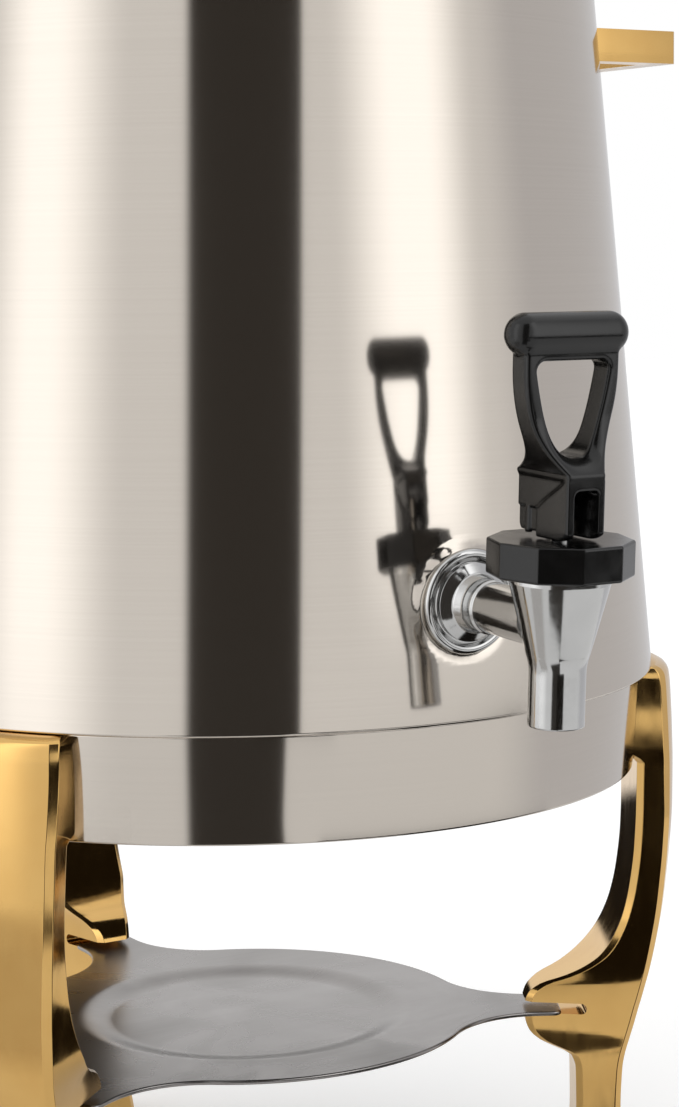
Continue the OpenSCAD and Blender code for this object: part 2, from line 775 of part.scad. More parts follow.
function spring_centre(i) =
    let (a = 360 * i / spring_steps, s = i / (spring_turns * spring_steps))
    [spring_mean_r * cos(a), spring_mean_r * sin(a), spring_low + (spring_high - spring_low) * s];

function spring_ring(i) =
    let (a = 360 * i / spring_steps, c = spring_centre(i))
    [for (k = [0:spring_sides - 1]) let (b = 360 * k / spring_sides)
        c + spring_wire * [cos(b) * cos(a), cos(b) * sin(a), sin(b)]];

spring_gap = (spring_high - spring_low) / spring_turns - 2 * spring_wire;
echo(return_spring_least_gap_mm = spring_gap);

module return_spring() {
    last = spring_turns * spring_steps;
    points = [for (i = [0:last]) each spring_ring(i)];
    sides = [for (i = [0:last - 1]) each band_faces(i, spring_sides)];
    start = [[for (k = [spring_sides - 1:-1:0]) k]];
    end = [[for (k = [0:spring_sides - 1]) last * spring_sides + k]];
    color(chrome) at_tap() polyhedron(points = points, faces = concat(start, sides, end));
}

// Valve stem: eye head above the bonnet, rod, spring collar and the knob that holds the seat cup
module valve_stem() {
    c = 1.3;
    head_low = pin_z - 2.9;
    head_top = pin_z + 4.1;
    color(chrome) at_tap() difference() {
        rotate_extrude($fn = 64) polygon([
            [0, seat_z + 2.5], [2, seat_z + 2.5], [2, seat_z + cup_h], [stem_r, seat_z + cup_h],
            [stem_r, collar_z], [spring_mean_r + 1.6, collar_z], [spring_mean_r + 1.6, collar_z + collar_t],
            [stem_r, collar_z + collar_t], [stem_r, head_low - 1], [head_r, head_low],
            [head_r, head_top - c], [head_r - c, head_top], [0, head_top]
        ]);
        translate([0, 0, pin_z]) rotate([0, 90, 0]) cylinder(r = pin_r, h = 20, center = true, $fn = 48);
    }
}

pin_half_l = slot_half + 1.1;

module stem_pin() {
    color(chrome) at_tap() translate([0, 0, pin_z]) rotate([0, 90, 0])
        cylinder(r = pin_r, h = 2 * pin_half_l, center = true, $fn = 48);
}

// Rubber cup that closes on the seat round the outlet
module seat_cup() {
    color(rubber) at_tap() difference() {
        rotate_extrude($fn = 64) polygon([
            [0, seat_z + seat_gap], [chamber_foot_r - 0.7, seat_z + seat_gap], [chamber_foot_r - 0.9, seat_z + 2],
            [5.4, seat_z + cup_h - 0.6], [4.6, seat_z + cup_h], [0, seat_z + cup_h]
        ]);
        translate([0, 0, seat_z + 2.5]) cylinder(r = 2, h = cup_h, $fn = 48);
    }
}

// ---------------------------------------------------------------- lever

block_front = 12;
block_back = 14;
block_half = block_w / 2;
loop_low = block_top + 4.4;
loop_high = grip_z - grip_r - 1.4;
loop_corner = 3;
rear_round = 4;

// Outline's half width at height z: straight block, then a flare that fills out towards the grip
function flare(z) = 1 - pow(1 - min(1, max(0, (z - block_top) / (grip_z - 8 - block_top))), 2.3);
function lever_half(z) = block_half + (loop_w / 2 - block_half) * flare(z);
// Half width of the opening in the loop: an egg, pointed down
function egg(z) = (lever_half(loop_high) - arm_w) * pow((z - loop_low) / (loop_high - loop_low), 0.36);

// Front and back faces of the lever at height z, swept out from the arms to the block
function sweep_share(z, span, power) = pow(1 - min(1, max(0, (z - block_top) / span)), power);
function lever_front(z) = -arm_d / 2 - (block_front - arm_d / 2) * sweep_share(z, 17, 2.2);
function lever_back(z) = arm_d / 2 + (block_back - arm_d / 2) * sweep_share(z, 13, 3);

// Heel: an involute about the pin, so that each radian of the lever lifts the stem by the same amount
function heel_point(a) =
    let (h = heel_drop + lift_per_rad * a * PI / 180)
    [-h * sin(a) - lift_per_rad * cos(a), pin_z - h * cos(a) + lift_per_rad * sin(a)];

module lever_face_outline() {
    rise = [for (i = [0:14]) block_top + (grip_z - block_top) * i / 14];
    polygon(concat(
        [[-block_half, heel_z], [block_half, heel_z]],
        [for (z = rise) [lever_half(z), z]],
        [for (i = [14:-1:0]) [-lever_half(rise[i]), rise[i]]]
    ));
}

module loop_opening() {
    n = 14;
    top_half = egg(loop_high - loop_corner);
    rise = [for (i = [0:n]) loop_low + (loop_high - loop_corner - loop_low) * pow(i / n, 2.4)];
    polygon(concat(
        [for (z = rise) [egg(z), z]],
        arc([top_half - loop_corner, loop_high - loop_corner], loop_corner, 15, 90, 4),
        arc([loop_corner - top_half, loop_high - loop_corner], loop_corner, 90, 165, 4),
        [for (i = [n:-1:1]) [-egg(rise[i]), rise[i]]]
    ));
}

module lever_side_outline() {
    end = heel_point(lever_travel);
    rise = [for (i = [0:12]) block_top + (grip_z - block_top) * pow(i / 12, 1.6)];
    polygon(concat(
        arc([block_back - rear_round, heel_z + rear_round], rear_round, 0, -90, 6),
        [for (i = [0:10]) heel_point(lever_travel * i / 10)],
        [[-block_front, end[1] + (end[0] + block_front) * tan(lever_travel)]],
        [for (z = rise) [lever_front(z), z]],
        [for (i = [12:-1:0]) [lever_back(rise[i]), rise[i]]]
    ));
}

// Raised cheek on each flank, bounded above by an S-shaped edge
cheek_back = 3.7;
cheek_low = 8.5;
cheek_rise = block_h - 1.5 - cheek_low;
rib_y = 9;

module cheek_outline() {
    run = cheek_back + block_front - 1.5;
    polygon(concat(
        [[-block_front - 1, heel_z], [cheek_back, heel_z]],
        [for (i = [0:8]) let (s = i / 8)
            [cheek_back - run * (s - 0.1 * sin(360 * s)), heel_z + cheek_low + cheek_rise * s * s * (3 - 2 * s)]],
        [[-block_front - 1, heel_z + block_h - 1.5]]
    ));
}

module grip() {
    end_r = 5;
    rotate([0, 90, 0]) rotate_extrude($fn = 64) polygon(concat(
        [[0, -grip_l / 2]],
        arc([grip_r - end_r, end_r - grip_l / 2], end_r, -90, 0, 8),
        arc([grip_r - end_r, grip_l / 2 - end_r], end_r, 0, 90, 8),
        [[0, grip_l / 2]]
    ));
}

module lever_slot() {
    top = pin_z + 6.6;
    r = 1.8;
    polygon(concat(
        [[-slot_half, heel_z - 1], [slot_half, heel_z - 1]],
        arc([slot_half - r, top - r], r, 0, 90, 4),
        arc([r - slot_half, top - r], r, 90, 180, 4)
    ));
}

// Cuts one flank of the block down by the given depth, over the outline of the children
module flank_cut(side, depth) {
    translate([side * (block_half - depth + loop_w / 2), 0, 0]) rotate([90, 0, 90])
        linear_extrude(loop_w, center = true) children();
}

module tap_lever() {
    inset = 0.8;
    foot_inset = 1.4;
    rib_r = 1.2;
    color(black) at_tap() {
        for (side = [-1, 1]) translate([side * (block_half - foot_inset), rib_y, heel_z + 0.6])
            cylinder(r = rib_r, h = cheek_low - 0.6, $fn = 24);
        lever_body(inset, foot_inset);
    }
}

module lever_body(inset, foot_inset) {
    difference() {
        union() {
            intersection() {
                rotate([90, 0, 0]) linear_extrude(60, center = true) lever_face_outline();
                rotate([90, 0, 90]) linear_extrude(60, center = true) lever_side_outline();
            }
            translate([0, 0, grip_z]) grip();
        }
        rotate([90, 0, 0]) linear_extrude(60, center = true) loop_opening();
        // Scoop in front of the loop, between the two ridges that run down to the block
        rotate([90, 0, 0]) linear_extrude(40) translate([0, -3.6]) intersection() {
            loop_opening();
            translate([-20, loop_low - 5]) square([40, 17]);
        }
        // Flanks drawn in round the raised cheeks, and drawn in further at the rear foot
        for (side = [-1, 1]) {
            flank_cut(side, inset) flank_recess();
            flank_cut(side, foot_inset) translate([cheek_back, heel_z - 1]) square([block_back, cheek_low + 1]);
        }
        rotate([90, 0, 0]) linear_extrude(60, center = true) lever_slot();
        translate([0, 0, pin_z]) rotate([0, 90, 0])
            cylinder(r = pin_r + 0.05, h = 2 * pin_half_l + 0.2, center = true, $fn = 48);
    }
}

module flank_recess() {
    difference() {
        translate([-block_front - 5, heel_z - 1]) square([block_front + block_back + 10, block_h - 0.5]);
        cheek_outline();
    }
}

body_shell();
body_bottom();
base_band();
leg_front_left();
leg_front_right();
leg_rear();
leg_screws();
leg_washers();
fuel_tray();
handle_left();
handle_right();
handle_pads();
handle_screws();
handle_washers();
lid_shell();
lid_skirt();
lid_handle();
lid_screws();
lid_washers();
tap_body();
tap_flange();
tap_gasket_outer();
tap_gasket_inner();
tap_washer();
tap_locknut();
bonnet_nut();
bonnet_gasket();
return_spring();
valve_stem();
stem_pin();
seat_cup();
tap_lever();
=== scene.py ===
"""Looks of the coffee urn: smooth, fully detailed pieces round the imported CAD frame.

Lengths are in millimetres in the tables and profiles below, and become metres in make_mesh().
The frame has its origin on the vessel's axis at floor level, +Z up, and the tap faces -Y.
"""

import json
import math

import bmesh
import bpy
import numpy as np
from mathutils import Matrix, Vector


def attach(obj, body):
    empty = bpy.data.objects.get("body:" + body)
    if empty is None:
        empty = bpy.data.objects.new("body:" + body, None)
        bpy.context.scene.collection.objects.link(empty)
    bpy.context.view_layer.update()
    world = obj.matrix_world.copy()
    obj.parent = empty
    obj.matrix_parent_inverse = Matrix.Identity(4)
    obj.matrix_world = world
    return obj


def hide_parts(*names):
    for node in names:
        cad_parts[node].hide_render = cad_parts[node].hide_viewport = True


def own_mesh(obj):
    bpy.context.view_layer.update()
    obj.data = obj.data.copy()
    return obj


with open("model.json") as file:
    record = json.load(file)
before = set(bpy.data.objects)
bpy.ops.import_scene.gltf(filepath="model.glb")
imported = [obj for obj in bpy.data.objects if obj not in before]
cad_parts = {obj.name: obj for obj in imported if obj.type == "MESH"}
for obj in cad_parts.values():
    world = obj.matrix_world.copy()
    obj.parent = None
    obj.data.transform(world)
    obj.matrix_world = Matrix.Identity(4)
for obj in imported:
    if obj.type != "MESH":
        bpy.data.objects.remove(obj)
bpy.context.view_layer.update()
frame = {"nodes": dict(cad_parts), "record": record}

MM = 0.001
IDENTITY = Matrix.Identity(4)

# Degrees at which smooth shading splits, and millimetres from an arc's end to its holding point
SHARP_ANGLE = 40
ARC_HOLD = 0.15

# Radii at which a turned piece and a turned cutter stop beside the axis
AXIS_R = 0.2
CUTTER_AXIS_R = 0.1

# ---------------------------------------------------------------- sizes, as in the part's source

# Vessel
SEAM_Z = 205
BODY_R = 146
BODY_H = 300
BODY_LEAN = 26
SHEET = 1
BEAD_R = 2.6
HEM_R = BODY_R - 12
MOUTH_Z = SEAM_Z + BODY_H
MOUTH_R = BODY_R - BODY_LEAN
LEAN = math.atan(BODY_LEAN / BODY_H)
PAN_RIM_H = 12

# Base band
BAND_R = BODY_R - 4.2
BAND_H = 34.4
BAND_DRAW = 2.3
BAND_T = 1.5
BAND_FOOT_Z = SEAM_Z - BAND_H

# Legs
LEG_OUT = 12.88
LEG_HALF = 47.6 / 2
LEG_CROWN = 5
LEG_BEVEL = 2.2
KNEE_R = BAND_R - 40.5
LEG_TOP = SEAM_Z - 0.3
LEG_TURNS = {"leg_rear": 0, "leg_front_left": 120, "leg_front_right": -120}

# Fuel tray
TRAY_Z = 78.3
TRAY_T = 1.5
TRAY_R = 81.8
TRAY_UNDER = TRAY_Z - TRAY_T
TAB_HALF = 23.8 / 2
TAB_REACH = BAND_R - 27.8
TAB_FILLET = 34
TAB_CORNER = 3
DISH_R = 58
DISH_DEPTH = 2
SLOT_H = TRAY_T + 2.4
SLOT_REACH = TAB_REACH + 9

# Lid
DOME_R = MOUTH_R - 3
DOME_H = 36
LID_T = 1
LID_Z = MOUTH_Z + BEAD_R + 0.2
LID_EDGE_R = MOUTH_R + 2 * BEAD_R + 1.2
DOME_Z = LID_Z + 9
SKIRT_H = 12

# Tap
TAP_Z = SEAM_Z + 37.4
TAP_STANDOFF = 47.2
TAP_DROOP = math.radians(2.8)
SHANK_R = 7.9
SHANK_HOLE_R = SHANK_R + 0.3
SPOUT_R = 8.5
OUTLET_R = 6.2
SPOUT_DROP = 29.8
FUNNEL_R = 15
FLANGE_R = 16.5
SHOULDER_R = 12.3
FLANGE_SEAT = 2.7
BOSS_R = FLANGE_R - 1.9
BOSS_BLEND = 3.8
BOSS_T = 4
NUT_R = 21.65
NUT_H = 10.8
NUT_Z = 15
NUT_SIDES = 10
NUT_TURN = 108
NECK_R = FUNNEL_R + 0.2
GASKET_Z = 21
STEM_HOLE_R = 3.3

# Return spring, from the stem's collar up to the bonnet gasket
COLLAR_TOP = 7.5
SPRING_R = 5.2
SPRING_WIRE_R = 0.6
SPRING_TURNS = 6
SPRING_SIDES = 12
SPRING_STEPS = 40

# Lever
GRIP_Z = 85.1
GRIP_R = 6.2
GRIP_L = 41
HEEL_DROP = 8.3
LIFT_PER_RAD = 6
LEVER_TRAVEL = 35
HEEL_Z = NUT_Z + NUT_H + 0.1
PIN_Z = HEEL_Z + HEEL_DROP
BLOCK_HALF = 13.4 / 2
BLOCK_TOP = HEEL_Z + 19.5
BLOCK_FRONT = 12
BLOCK_BACK = 14
REAR_ROUND = 4
LOOP_W = 33
LOOP_LOW = BLOCK_TOP + 4.4
LOOP_HIGH = GRIP_Z - GRIP_R - 1.4
ARM_W = 3.2
ARM_D = 8.6
SLOT_HALF = 4.3
CHEEK_BACK = 3.7
CHEEK_LOW = 8.5
CHEEK_RISE = 19.5 - 1.5 - CHEEK_LOW
FLANK_INSET = 0.8
FOOT_INSET = 1.4
RIDGE_Z = BLOCK_TOP - 1.5
RIB_Y = 9
LEVER_LOW = (-21.5, -13.5, 25.0)
LEVER_HIGH = (21.5, 15.5, 92.5)
LEVER_STEP = 0.36

# ---------------------------------------------------------------- mesh helpers


def make_mesh(name, points, faces, place=IDENTITY, sharp_angle=SHARP_ANGLE):
    """A smooth-shaded object from points in millimetres, set in place by a matrix in metres."""
    mesh = bpy.data.meshes.new(name)
    mesh.from_pydata([place @ (Vector(p) * MM) for p in points], [], faces)
    work = bmesh.new()
    work.from_mesh(mesh)
    bmesh.ops.remove_doubles(work, verts=work.verts, dist=1e-7)
    bmesh.ops.recalc_face_normals(work, faces=work.faces)
    work.to_mesh(mesh)
    work.free()
    return link_mesh(name, mesh, sharp_angle)


def link_mesh(name, mesh, sharp_angle=SHARP_ANGLE):
    """Links a mesh to the scene as a smooth-shaded object with sharp edges kept."""
    piece = bpy.data.objects.new(name, mesh)
    bpy.context.scene.collection.objects.link(piece)
    shade(piece, sharp_angle)
    return piece


def shade(piece, sharp_angle=SHARP_ANGLE):
    """Smooth shading, split at edges that turn more than the angle."""
    mesh = piece.data
    mesh.polygons.foreach_set("use_smooth", [True] * len(mesh.polygons))
    mesh.set_sharp_from_angle(angle=math.radians(sharp_angle))


def spin(x, y, turn):
    """A point turned round the origin by an angle in radians."""
    return x * math.cos(turn) - y * math.sin(turn), x * math.sin(turn) + y * math.cos(turn)


def arc_points(cx, cy, r, start, end, steps):
    """Points of an arc round (cx, cy), between two angles in degrees."""
    turns = [math.radians(start + (end - start) * i / steps) for i in range(steps + 1)]
    return [(cx + r * math.cos(a), cy + r * math.sin(a)) for a in turns]


def rounded(corners, steps=5):
    """Rounds the corners of a path of (a, b, radius), with a holding point on both sides of each arc.

    The first and last points stay as they are.
    """
    path = [np.array(corners[0][:2], float)]
    for before, here, after in zip(corners, corners[1:], corners[2:]):
        path.extend(corner_arc(before, here, after, steps, ARC_HOLD))
    path.append(np.array(corners[-1][:2], float))
    return path


def corner_arc(before, here, after, steps, hold):
    """Points of one rounded corner, from the side of the point before to that of the point after."""
    point = np.array(here[:2], float)
    radius = here[2] if len(here) > 2 else 0
    if radius == 0:
        return [point]
    to_before = np.array(before[:2], float) - point
    to_after = np.array(after[:2], float) - point
    to_before /= np.linalg.norm(to_before)
    to_after /= np.linalg.norm(to_after)
    half = math.acos(max(-1, min(1, float(to_before @ to_after)))) / 2
    reach = radius / math.tan(half)
    middle = to_before + to_after
    centre = point + middle / np.linalg.norm(middle) * radius / math.sin(half)
    start = point + to_before * reach - centre
    end = point + to_after * reach - centre
    turn = math.atan2(start[0] * end[1] - start[1] * end[0], float(start @ end))
    arc = [centre + np.array(spin(*start, turn * i / steps)) for i in range(steps + 1)]
    return [point + to_before * (reach + hold)] + arc + [point + to_after * (reach + hold)]


def closed_round(corners, steps=5, hold=ARC_HOLD):
    """Rounds every corner of a closed outline of (a, b, radius)."""
    looped = [corners[-1]] + list(corners) + [corners[0]]
    outline = []
    for before, here, after in zip(looped, looped[1:], looped[2:]):
        outline.extend(corner_arc(before, here, after, steps, hold))
    return outline


def strip_faces(rows, columns, wrap_rows=False):
    """Quads over a grid of rows by columns whose columns close round."""
    faces = []
    for r in range(rows if wrap_rows else rows - 1):
        a = r * columns
        b = ((r + 1) % rows) * columns
        for c in range(columns):
            d = (c + 1) % columns
            faces.append((a + c, a + d, b + d, b + c))
    return faces


def lathe(name, profile, place=IDENTITY, columns=256):
    """Turns a closed profile of (radius, height) about Z into a ring."""
    turns = [2 * math.pi * c / columns for c in range(columns)]
    points = []
    for r, z in profile:
        points.extend((r * math.cos(a), r * math.sin(a), z) for a in turns)
    faces = strip_faces(len(profile), columns, wrap_rows=True)
    return make_mesh(name, points, faces, place)


def loft(name, rings, place=IDENTITY):
    """Joins rings of equally many 3-D points, with a flat cap at each end."""
    columns = len(rings[0])
    points = [p for ring in rings for p in ring]
    faces = strip_faces(len(rings), columns)
    faces.append(tuple(range(columns)))
    faces.append(tuple(reversed(range(len(points) - columns, len(points)))))
    return make_mesh(name, points, faces, place)


def apply_modifiers(piece):
    """Bakes the piece's modifiers into its mesh."""
    graph = bpy.context.evaluated_depsgraph_get()
    mesh = bpy.data.meshes.new_from_object(piece.evaluated_get(graph))
    piece.modifiers.clear()
    piece.data = mesh


def cut(piece, cutter):
    """Subtracts the cutter from the piece and deletes the cutter."""
    difference = piece.modifiers.new("cut", "BOOLEAN")
    difference.operation = "DIFFERENCE"
    difference.solver = "EXACT"
    difference.object = cutter
    apply_modifiers(piece)
    bpy.data.objects.remove(cutter)
    shade(piece)


def join(name, *parts):
    """Joins objects into one mesh without changing their shapes."""
    work = bmesh.new()
    for part in parts:
        work.from_mesh(part.data)
        bpy.data.objects.remove(part)
    mesh = bpy.data.meshes.new(name)
    work.to_mesh(mesh)
    work.free()
    return link_mesh(name, mesh)


def softened_copy(node, name, width, segments=3):
    """A copy of a CAD node whose flat faces are made whole and whose edges are rounded over."""
    mesh = frame["nodes"][node].data.copy()
    mesh.name = name
    piece = link_mesh(name, mesh)
    work = bmesh.new()
    work.from_mesh(piece.data)
    bmesh.ops.remove_doubles(work, verts=work.verts, dist=1e-6)
    bmesh.ops.dissolve_limit(work, angle_limit=math.radians(1), verts=work.verts, edges=work.edges)
    work.to_mesh(piece.data)
    work.free()
    bevel = piece.modifiers.new("soften", "BEVEL")
    bevel.width = width * MM
    bevel.segments = segments
    bevel.limit_method = "ANGLE"
    bevel.angle_limit = math.radians(35)
    apply_modifiers(piece)
    shade(piece, 50)
    return piece


def finish_piece(piece, body, slot, *nodes):
    """Gives a piece its slot's finish and its body, and hides the CAD nodes that it stands for."""
    piece.data.materials.clear()
    piece.data.materials.append(FINISHES[slot])
    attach(piece, body)
    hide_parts(*nodes)


# ---------------------------------------------------------------- materials


class Finish:
    """A Principled material with short ways to add procedural detail."""

    def __init__(self, name, colour, roughness, metallic=0.0):
        self.material = bpy.data.materials.new(name)
        self.material.use_nodes = True
        self.tree = self.material.node_tree
        self.shader = self.tree.nodes["Principled BSDF"]
        self.colour = colour
        self.shader.inputs["Base Color"].default_value = (*colour, 1)
        self.shader.inputs["Roughness"].default_value = roughness
        self.shader.inputs["Metallic"].default_value = metallic
        self.last_normal = None

    def node(self, kind, **values):
        made = self.tree.nodes.new(kind)
        for key, value in values.items():
            setattr(made, key, value)
        return made

    def link(self, source, target):
        self.tree.links.new(source, target)

    def noise(self, scale, detail=3, stretch=(1, 1, 1), distortion=0.0):
        """Noise over the object, in features per metre, drawn out along an axis by a small stretch."""
        place = self.node("ShaderNodeTexCoord")
        mapping = self.node("ShaderNodeMapping")
        mapping.inputs["Scale"].default_value = stretch
        noise = self.node("ShaderNodeTexNoise")
        noise.inputs["Scale"].default_value = scale
        noise.inputs["Detail"].default_value = detail
        noise.inputs["Distortion"].default_value = distortion
        self.link(place.outputs["Object"], mapping.inputs["Vector"])
        self.link(mapping.outputs["Vector"], noise.inputs["Vector"])
        return noise.outputs["Fac"]

    def spread(self, value, low, high):
        """Maps a noise value, which stays near the middle of 0 to 1, to a range."""
        change = self.node("ShaderNodeMapRange")
        change.inputs["From Min"].default_value = 0.3
        change.inputs["From Max"].default_value = 0.7
        change.inputs["To Min"].default_value = low
        change.inputs["To Max"].default_value = high
        self.link(value, change.inputs["Value"])
        return change.outputs["Result"]

    def vary_roughness(self, value, low, high):
        self.link(self.spread(value, low, high), self.shader.inputs["Roughness"])

    def vary_colour(self, value, other):
        """Drifts the base colour towards another."""
        mix = self.node("ShaderNodeMix", data_type="RGBA")
        mix.inputs["A"].default_value = (*self.colour, 1)
        mix.inputs["B"].default_value = (*other, 1)
        self.link(self.spread(value, 0, 1), mix.inputs["Factor"])
        self.link(mix.outputs["Result"], self.shader.inputs["Base Color"])

    def relief(self, value, depth):
        """Adds a bump of the given depth in millimetres."""
        bump = self.node("ShaderNodeBump")
        bump.inputs["Strength"].default_value = 1
        bump.inputs["Distance"].default_value = depth * MM
        self.link(value, bump.inputs["Height"])
        if self.last_normal is not None:
            self.link(self.last_normal, bump.inputs["Normal"])
        self.last_normal = bump.outputs["Normal"]
        self.link(self.last_normal, self.shader.inputs["Normal"])


def steel_finish():
    """Polished stainless sheet with a fine grain round the vessel and faint wipe marks."""
    steel = Finish("steel_polished", (0.575, 0.527, 0.472), 0.085, metallic=1)
    grain = steel.noise(1, detail=3, stretch=(6, 6, 1900))
    marks = steel.noise(9, detail=5, stretch=(1, 1, 0.6), distortion=0.6)
    steel.vary_roughness(marks, 0.075, 0.10)
    steel.vary_colour(grain, (0.56, 0.513, 0.459))
    steel.relief(grain, 0.0004)
    return steel.material


def tray_finish():
    """Satin rolled sheet, with its grain along one direction."""
    tray = Finish("tray_satin", (0.338, 0.322, 0.313), 0.27, metallic=1)
    grain = tray.noise(1, detail=4, stretch=(8, 900, 900))
    marks = tray.noise(22, detail=5, distortion=0.8)
    tray.vary_roughness(marks, 0.22, 0.33)
    tray.vary_colour(grain, (0.318, 0.301, 0.292))
    tray.relief(grain, 0.004)
    return tray.material


def gold_finish():
    """Polished gold-coloured casting with a slight waviness and fine polishing marks."""
    gold = Finish("gold_polished", (0.71, 0.445, 0.155), 0.08, metallic=1)
    waves = gold.noise(70, detail=2)
    marks = gold.noise(260, detail=4, stretch=(1, 1, 0.25))
    gold.vary_roughness(marks, 0.07, 0.15)
    gold.vary_colour(waves, (0.68, 0.415, 0.14))
    gold.relief(waves, 0.03)
    gold.relief(marks, 0.004)
    return gold.material


def chrome_finish():
    """Chrome plate with faint polishing marks."""
    chrome = Finish("chrome_plate", (0.53, 0.53, 0.525), 0.06, metallic=1)
    waves = chrome.noise(140, detail=2)
    marks = chrome.noise(700, detail=3)
    chrome.vary_roughness(marks, 0.09, 0.14)
    chrome.vary_colour(waves, (0.50, 0.50, 0.495))
    chrome.relief(waves, 0.02)
    return chrome.material


def plastic_finish():
    """Glossy black moulding with a slight orange peel."""
    plastic = Finish("black_moulding", (0.003, 0.003, 0.003), 0.15)
    plastic.shader.inputs["IOR"].default_value = 1.45
    peel = plastic.noise(900, detail=2)
    marks = plastic.noise(120, detail=5, distortion=0.5)
    plastic.vary_roughness(marks, 0.13, 0.24)
    plastic.vary_colour(marks, (0.0048, 0.0046, 0.0044))
    plastic.relief(peel, 0.004)
    return plastic.material


def rubber_finish():
    """Matt off-white silicone rubber."""
    rubber = Finish("silicone", (0.72, 0.71, 0.68), 0.62)
    grain = rubber.noise(1500, detail=3)
    cloud = rubber.noise(150, detail=3)
    rubber.vary_roughness(cloud, 0.55, 0.72)
    rubber.vary_colour(cloud, (0.67, 0.655, 0.62))
    rubber.relief(grain, 0.01)
    return rubber.material


FINISHES = {
    "steel": steel_finish(),
    "tray_steel": tray_finish(),
    "gold": gold_finish(),
    "chrome": chrome_finish(),
    "black_plastic": plastic_finish(),
    "rubber": rubber_finish(),
}

# ---------------------------------------------------------------- vessel and band


def wall_r(z):
    return BODY_R - BODY_LEAN * (z - SEAM_Z) / BODY_H


def inner_wall_r(z):
    return wall_r(z) - SHEET / math.cos(LEAN)


def band_r(z):
    return BAND_R - BAND_DRAW * (SEAM_Z - z) / BAND_H


def flange_place():
    """Frame at the flange's seat on the wall, with -Y outward along the shank."""
    return Matrix.Translation(Vector((0, -wall_r(TAP_Z), TAP_Z)) * MM) @ Matrix.Rotation(TAP_DROOP, 4, "X")


def tap_place():
    """Frame at the crossing of the shank's axis and the tap's upright axis."""
    return flange_place() @ Matrix.Translation(Vector((0, -TAP_STANDOFF, 0)) * MM)


def shank_place():
    """Frame at the flange's seat with +Z outward along the shank, for turned parts."""
    return flange_place() @ Matrix.Rotation(math.radians(90), 4, "X")


def rows_between(z0, z1, step):
    """Even rows of about a step between two values, without the two."""
    count = max(1, round(abs(z1 - z0) / step))
    return [z0 + (z1 - z0) * i / count for i in range(1, count)]


def smoothstep(value, low, high):
    """Rises smoothly from 0 at low to 1 at high."""
    t = np.clip((value - low) / (high - low), 0, 1)
    return t * t * (3 - 2 * t)


def vessel_profile():
    """Closed profile of the wall from the hem up over the curled bead and down inside.

    The rows lie close together behind the tap, where the boss is pressed.
    """
    foot = SEAM_Z + 4
    hem_top = SEAM_Z + SHEET
    fine_step = 1.5
    coarse_step = 12
    edge = rounded([(HEM_R, SEAM_Z), (BODY_R, SEAM_Z, 0.7), (wall_r(foot), foot)])
    rows = [foot + fine_step * i for i in range(1, 52)]
    rows += rows_between(rows[-1], MOUTH_Z - BEAD_R, coarse_step)
    outside = [(wall_r(z), z) for z in rows]
    bead = arc_points(MOUTH_R + BEAD_R - SHEET, MOUTH_Z, BEAD_R, -125, 175, 24)
    rows = rows_between(MOUTH_Z, hem_top + 2, coarse_step) + [hem_top + 2, hem_top]
    inside = [(inner_wall_r(z), z) for z in rows]
    return edge[:-1] + outside + bead + inside + [(HEM_R, hem_top)]


def press_boss(piece):
    """Presses the wall flat behind the tap's flange and opens the hole for the shank."""
    outward = flange_place()
    to_local = outward.inverted()
    mesh = piece.data
    for vertex in mesh.vertices:
        local = to_local @ vertex.co / MM
        reach = math.hypot(local.x, local.z)
        if vertex.co.y > 0 or reach > BOSS_R + BOSS_BLEND or vertex.co.z < (SEAM_Z + 2) * MM:
            continue
        radius = math.hypot(vertex.co.x, vertex.co.y) / MM
        is_inner = radius < wall_r(vertex.co.z / MM) - SHEET / 2
        share = 1 - float(smoothstep(reach, BOSS_R, BOSS_R + BOSS_BLEND))
        flat = BOSS_T if is_inner else 0
        local.y += (flat - local.y) * share
        vertex.co = outward @ (local * MM)
    work = bmesh.new()
    work.from_mesh(mesh)
    hole = []
    for face in work.faces:
        local = to_local @ face.calc_center_median() / MM
        if abs(local.y) < 10 and math.hypot(local.x, local.z) < SHANK_HOLE_R + 1.5:
            hole.append(face)
    bmesh.ops.delete(work, geom=hole, context="FACES")
    work.to_mesh(mesh)
    work.free()
    shade(piece)


def build_vessel():
    wall = lathe("vessel_wall", vessel_profile(), columns=360)
    press_boss(wall)
    finish_piece(wall, "urn", "steel", "body_shell")

    floor_z = SEAM_Z + SHEET
    rim_top = floor_z + PAN_RIM_H
    under = rounded([
        (AXIS_R, floor_z + 2), (BODY_R * 0.6, floor_z + 1, 20), (HEM_R, floor_z, 5),
        (inner_wall_r(floor_z) - 0.4, floor_z, 5.5), (inner_wall_r(rim_top) - 0.05, rim_top)
    ])
    over = []
    for r, z in reversed(under):
        over.append((r - SHEET * 0.7 if z > floor_z + 3 else r, z if z > floor_z + 8 else z + SHEET))
    pan = lathe("bottom_pan", under + over, columns=192)
    finish_piece(pan, "urn", "steel", "body_bottom")


def build_band():
    top = SEAM_Z - 0.02
    in_r = HEM_R - 2
    outer_foot = band_r(BAND_FOOT_Z)
    profile = closed_round([
        (in_r, top, 0.3), (BAND_R, top, 0.9), (outer_foot, BAND_FOOT_Z, 0.5),
        (outer_foot - BAND_T, BAND_FOOT_Z, 0.5), (band_r(top - BAND_T) - BAND_T, top - BAND_T, 0.6),
        (in_r, top - BAND_T, 0.3)
    ])
    band = lathe("band_ring", profile, columns=360)
    finish_piece(band, "urn", "steel", "base_band")


# ---------------------------------------------------------------- legs

LEG_FACE = BAND_R + LEG_OUT

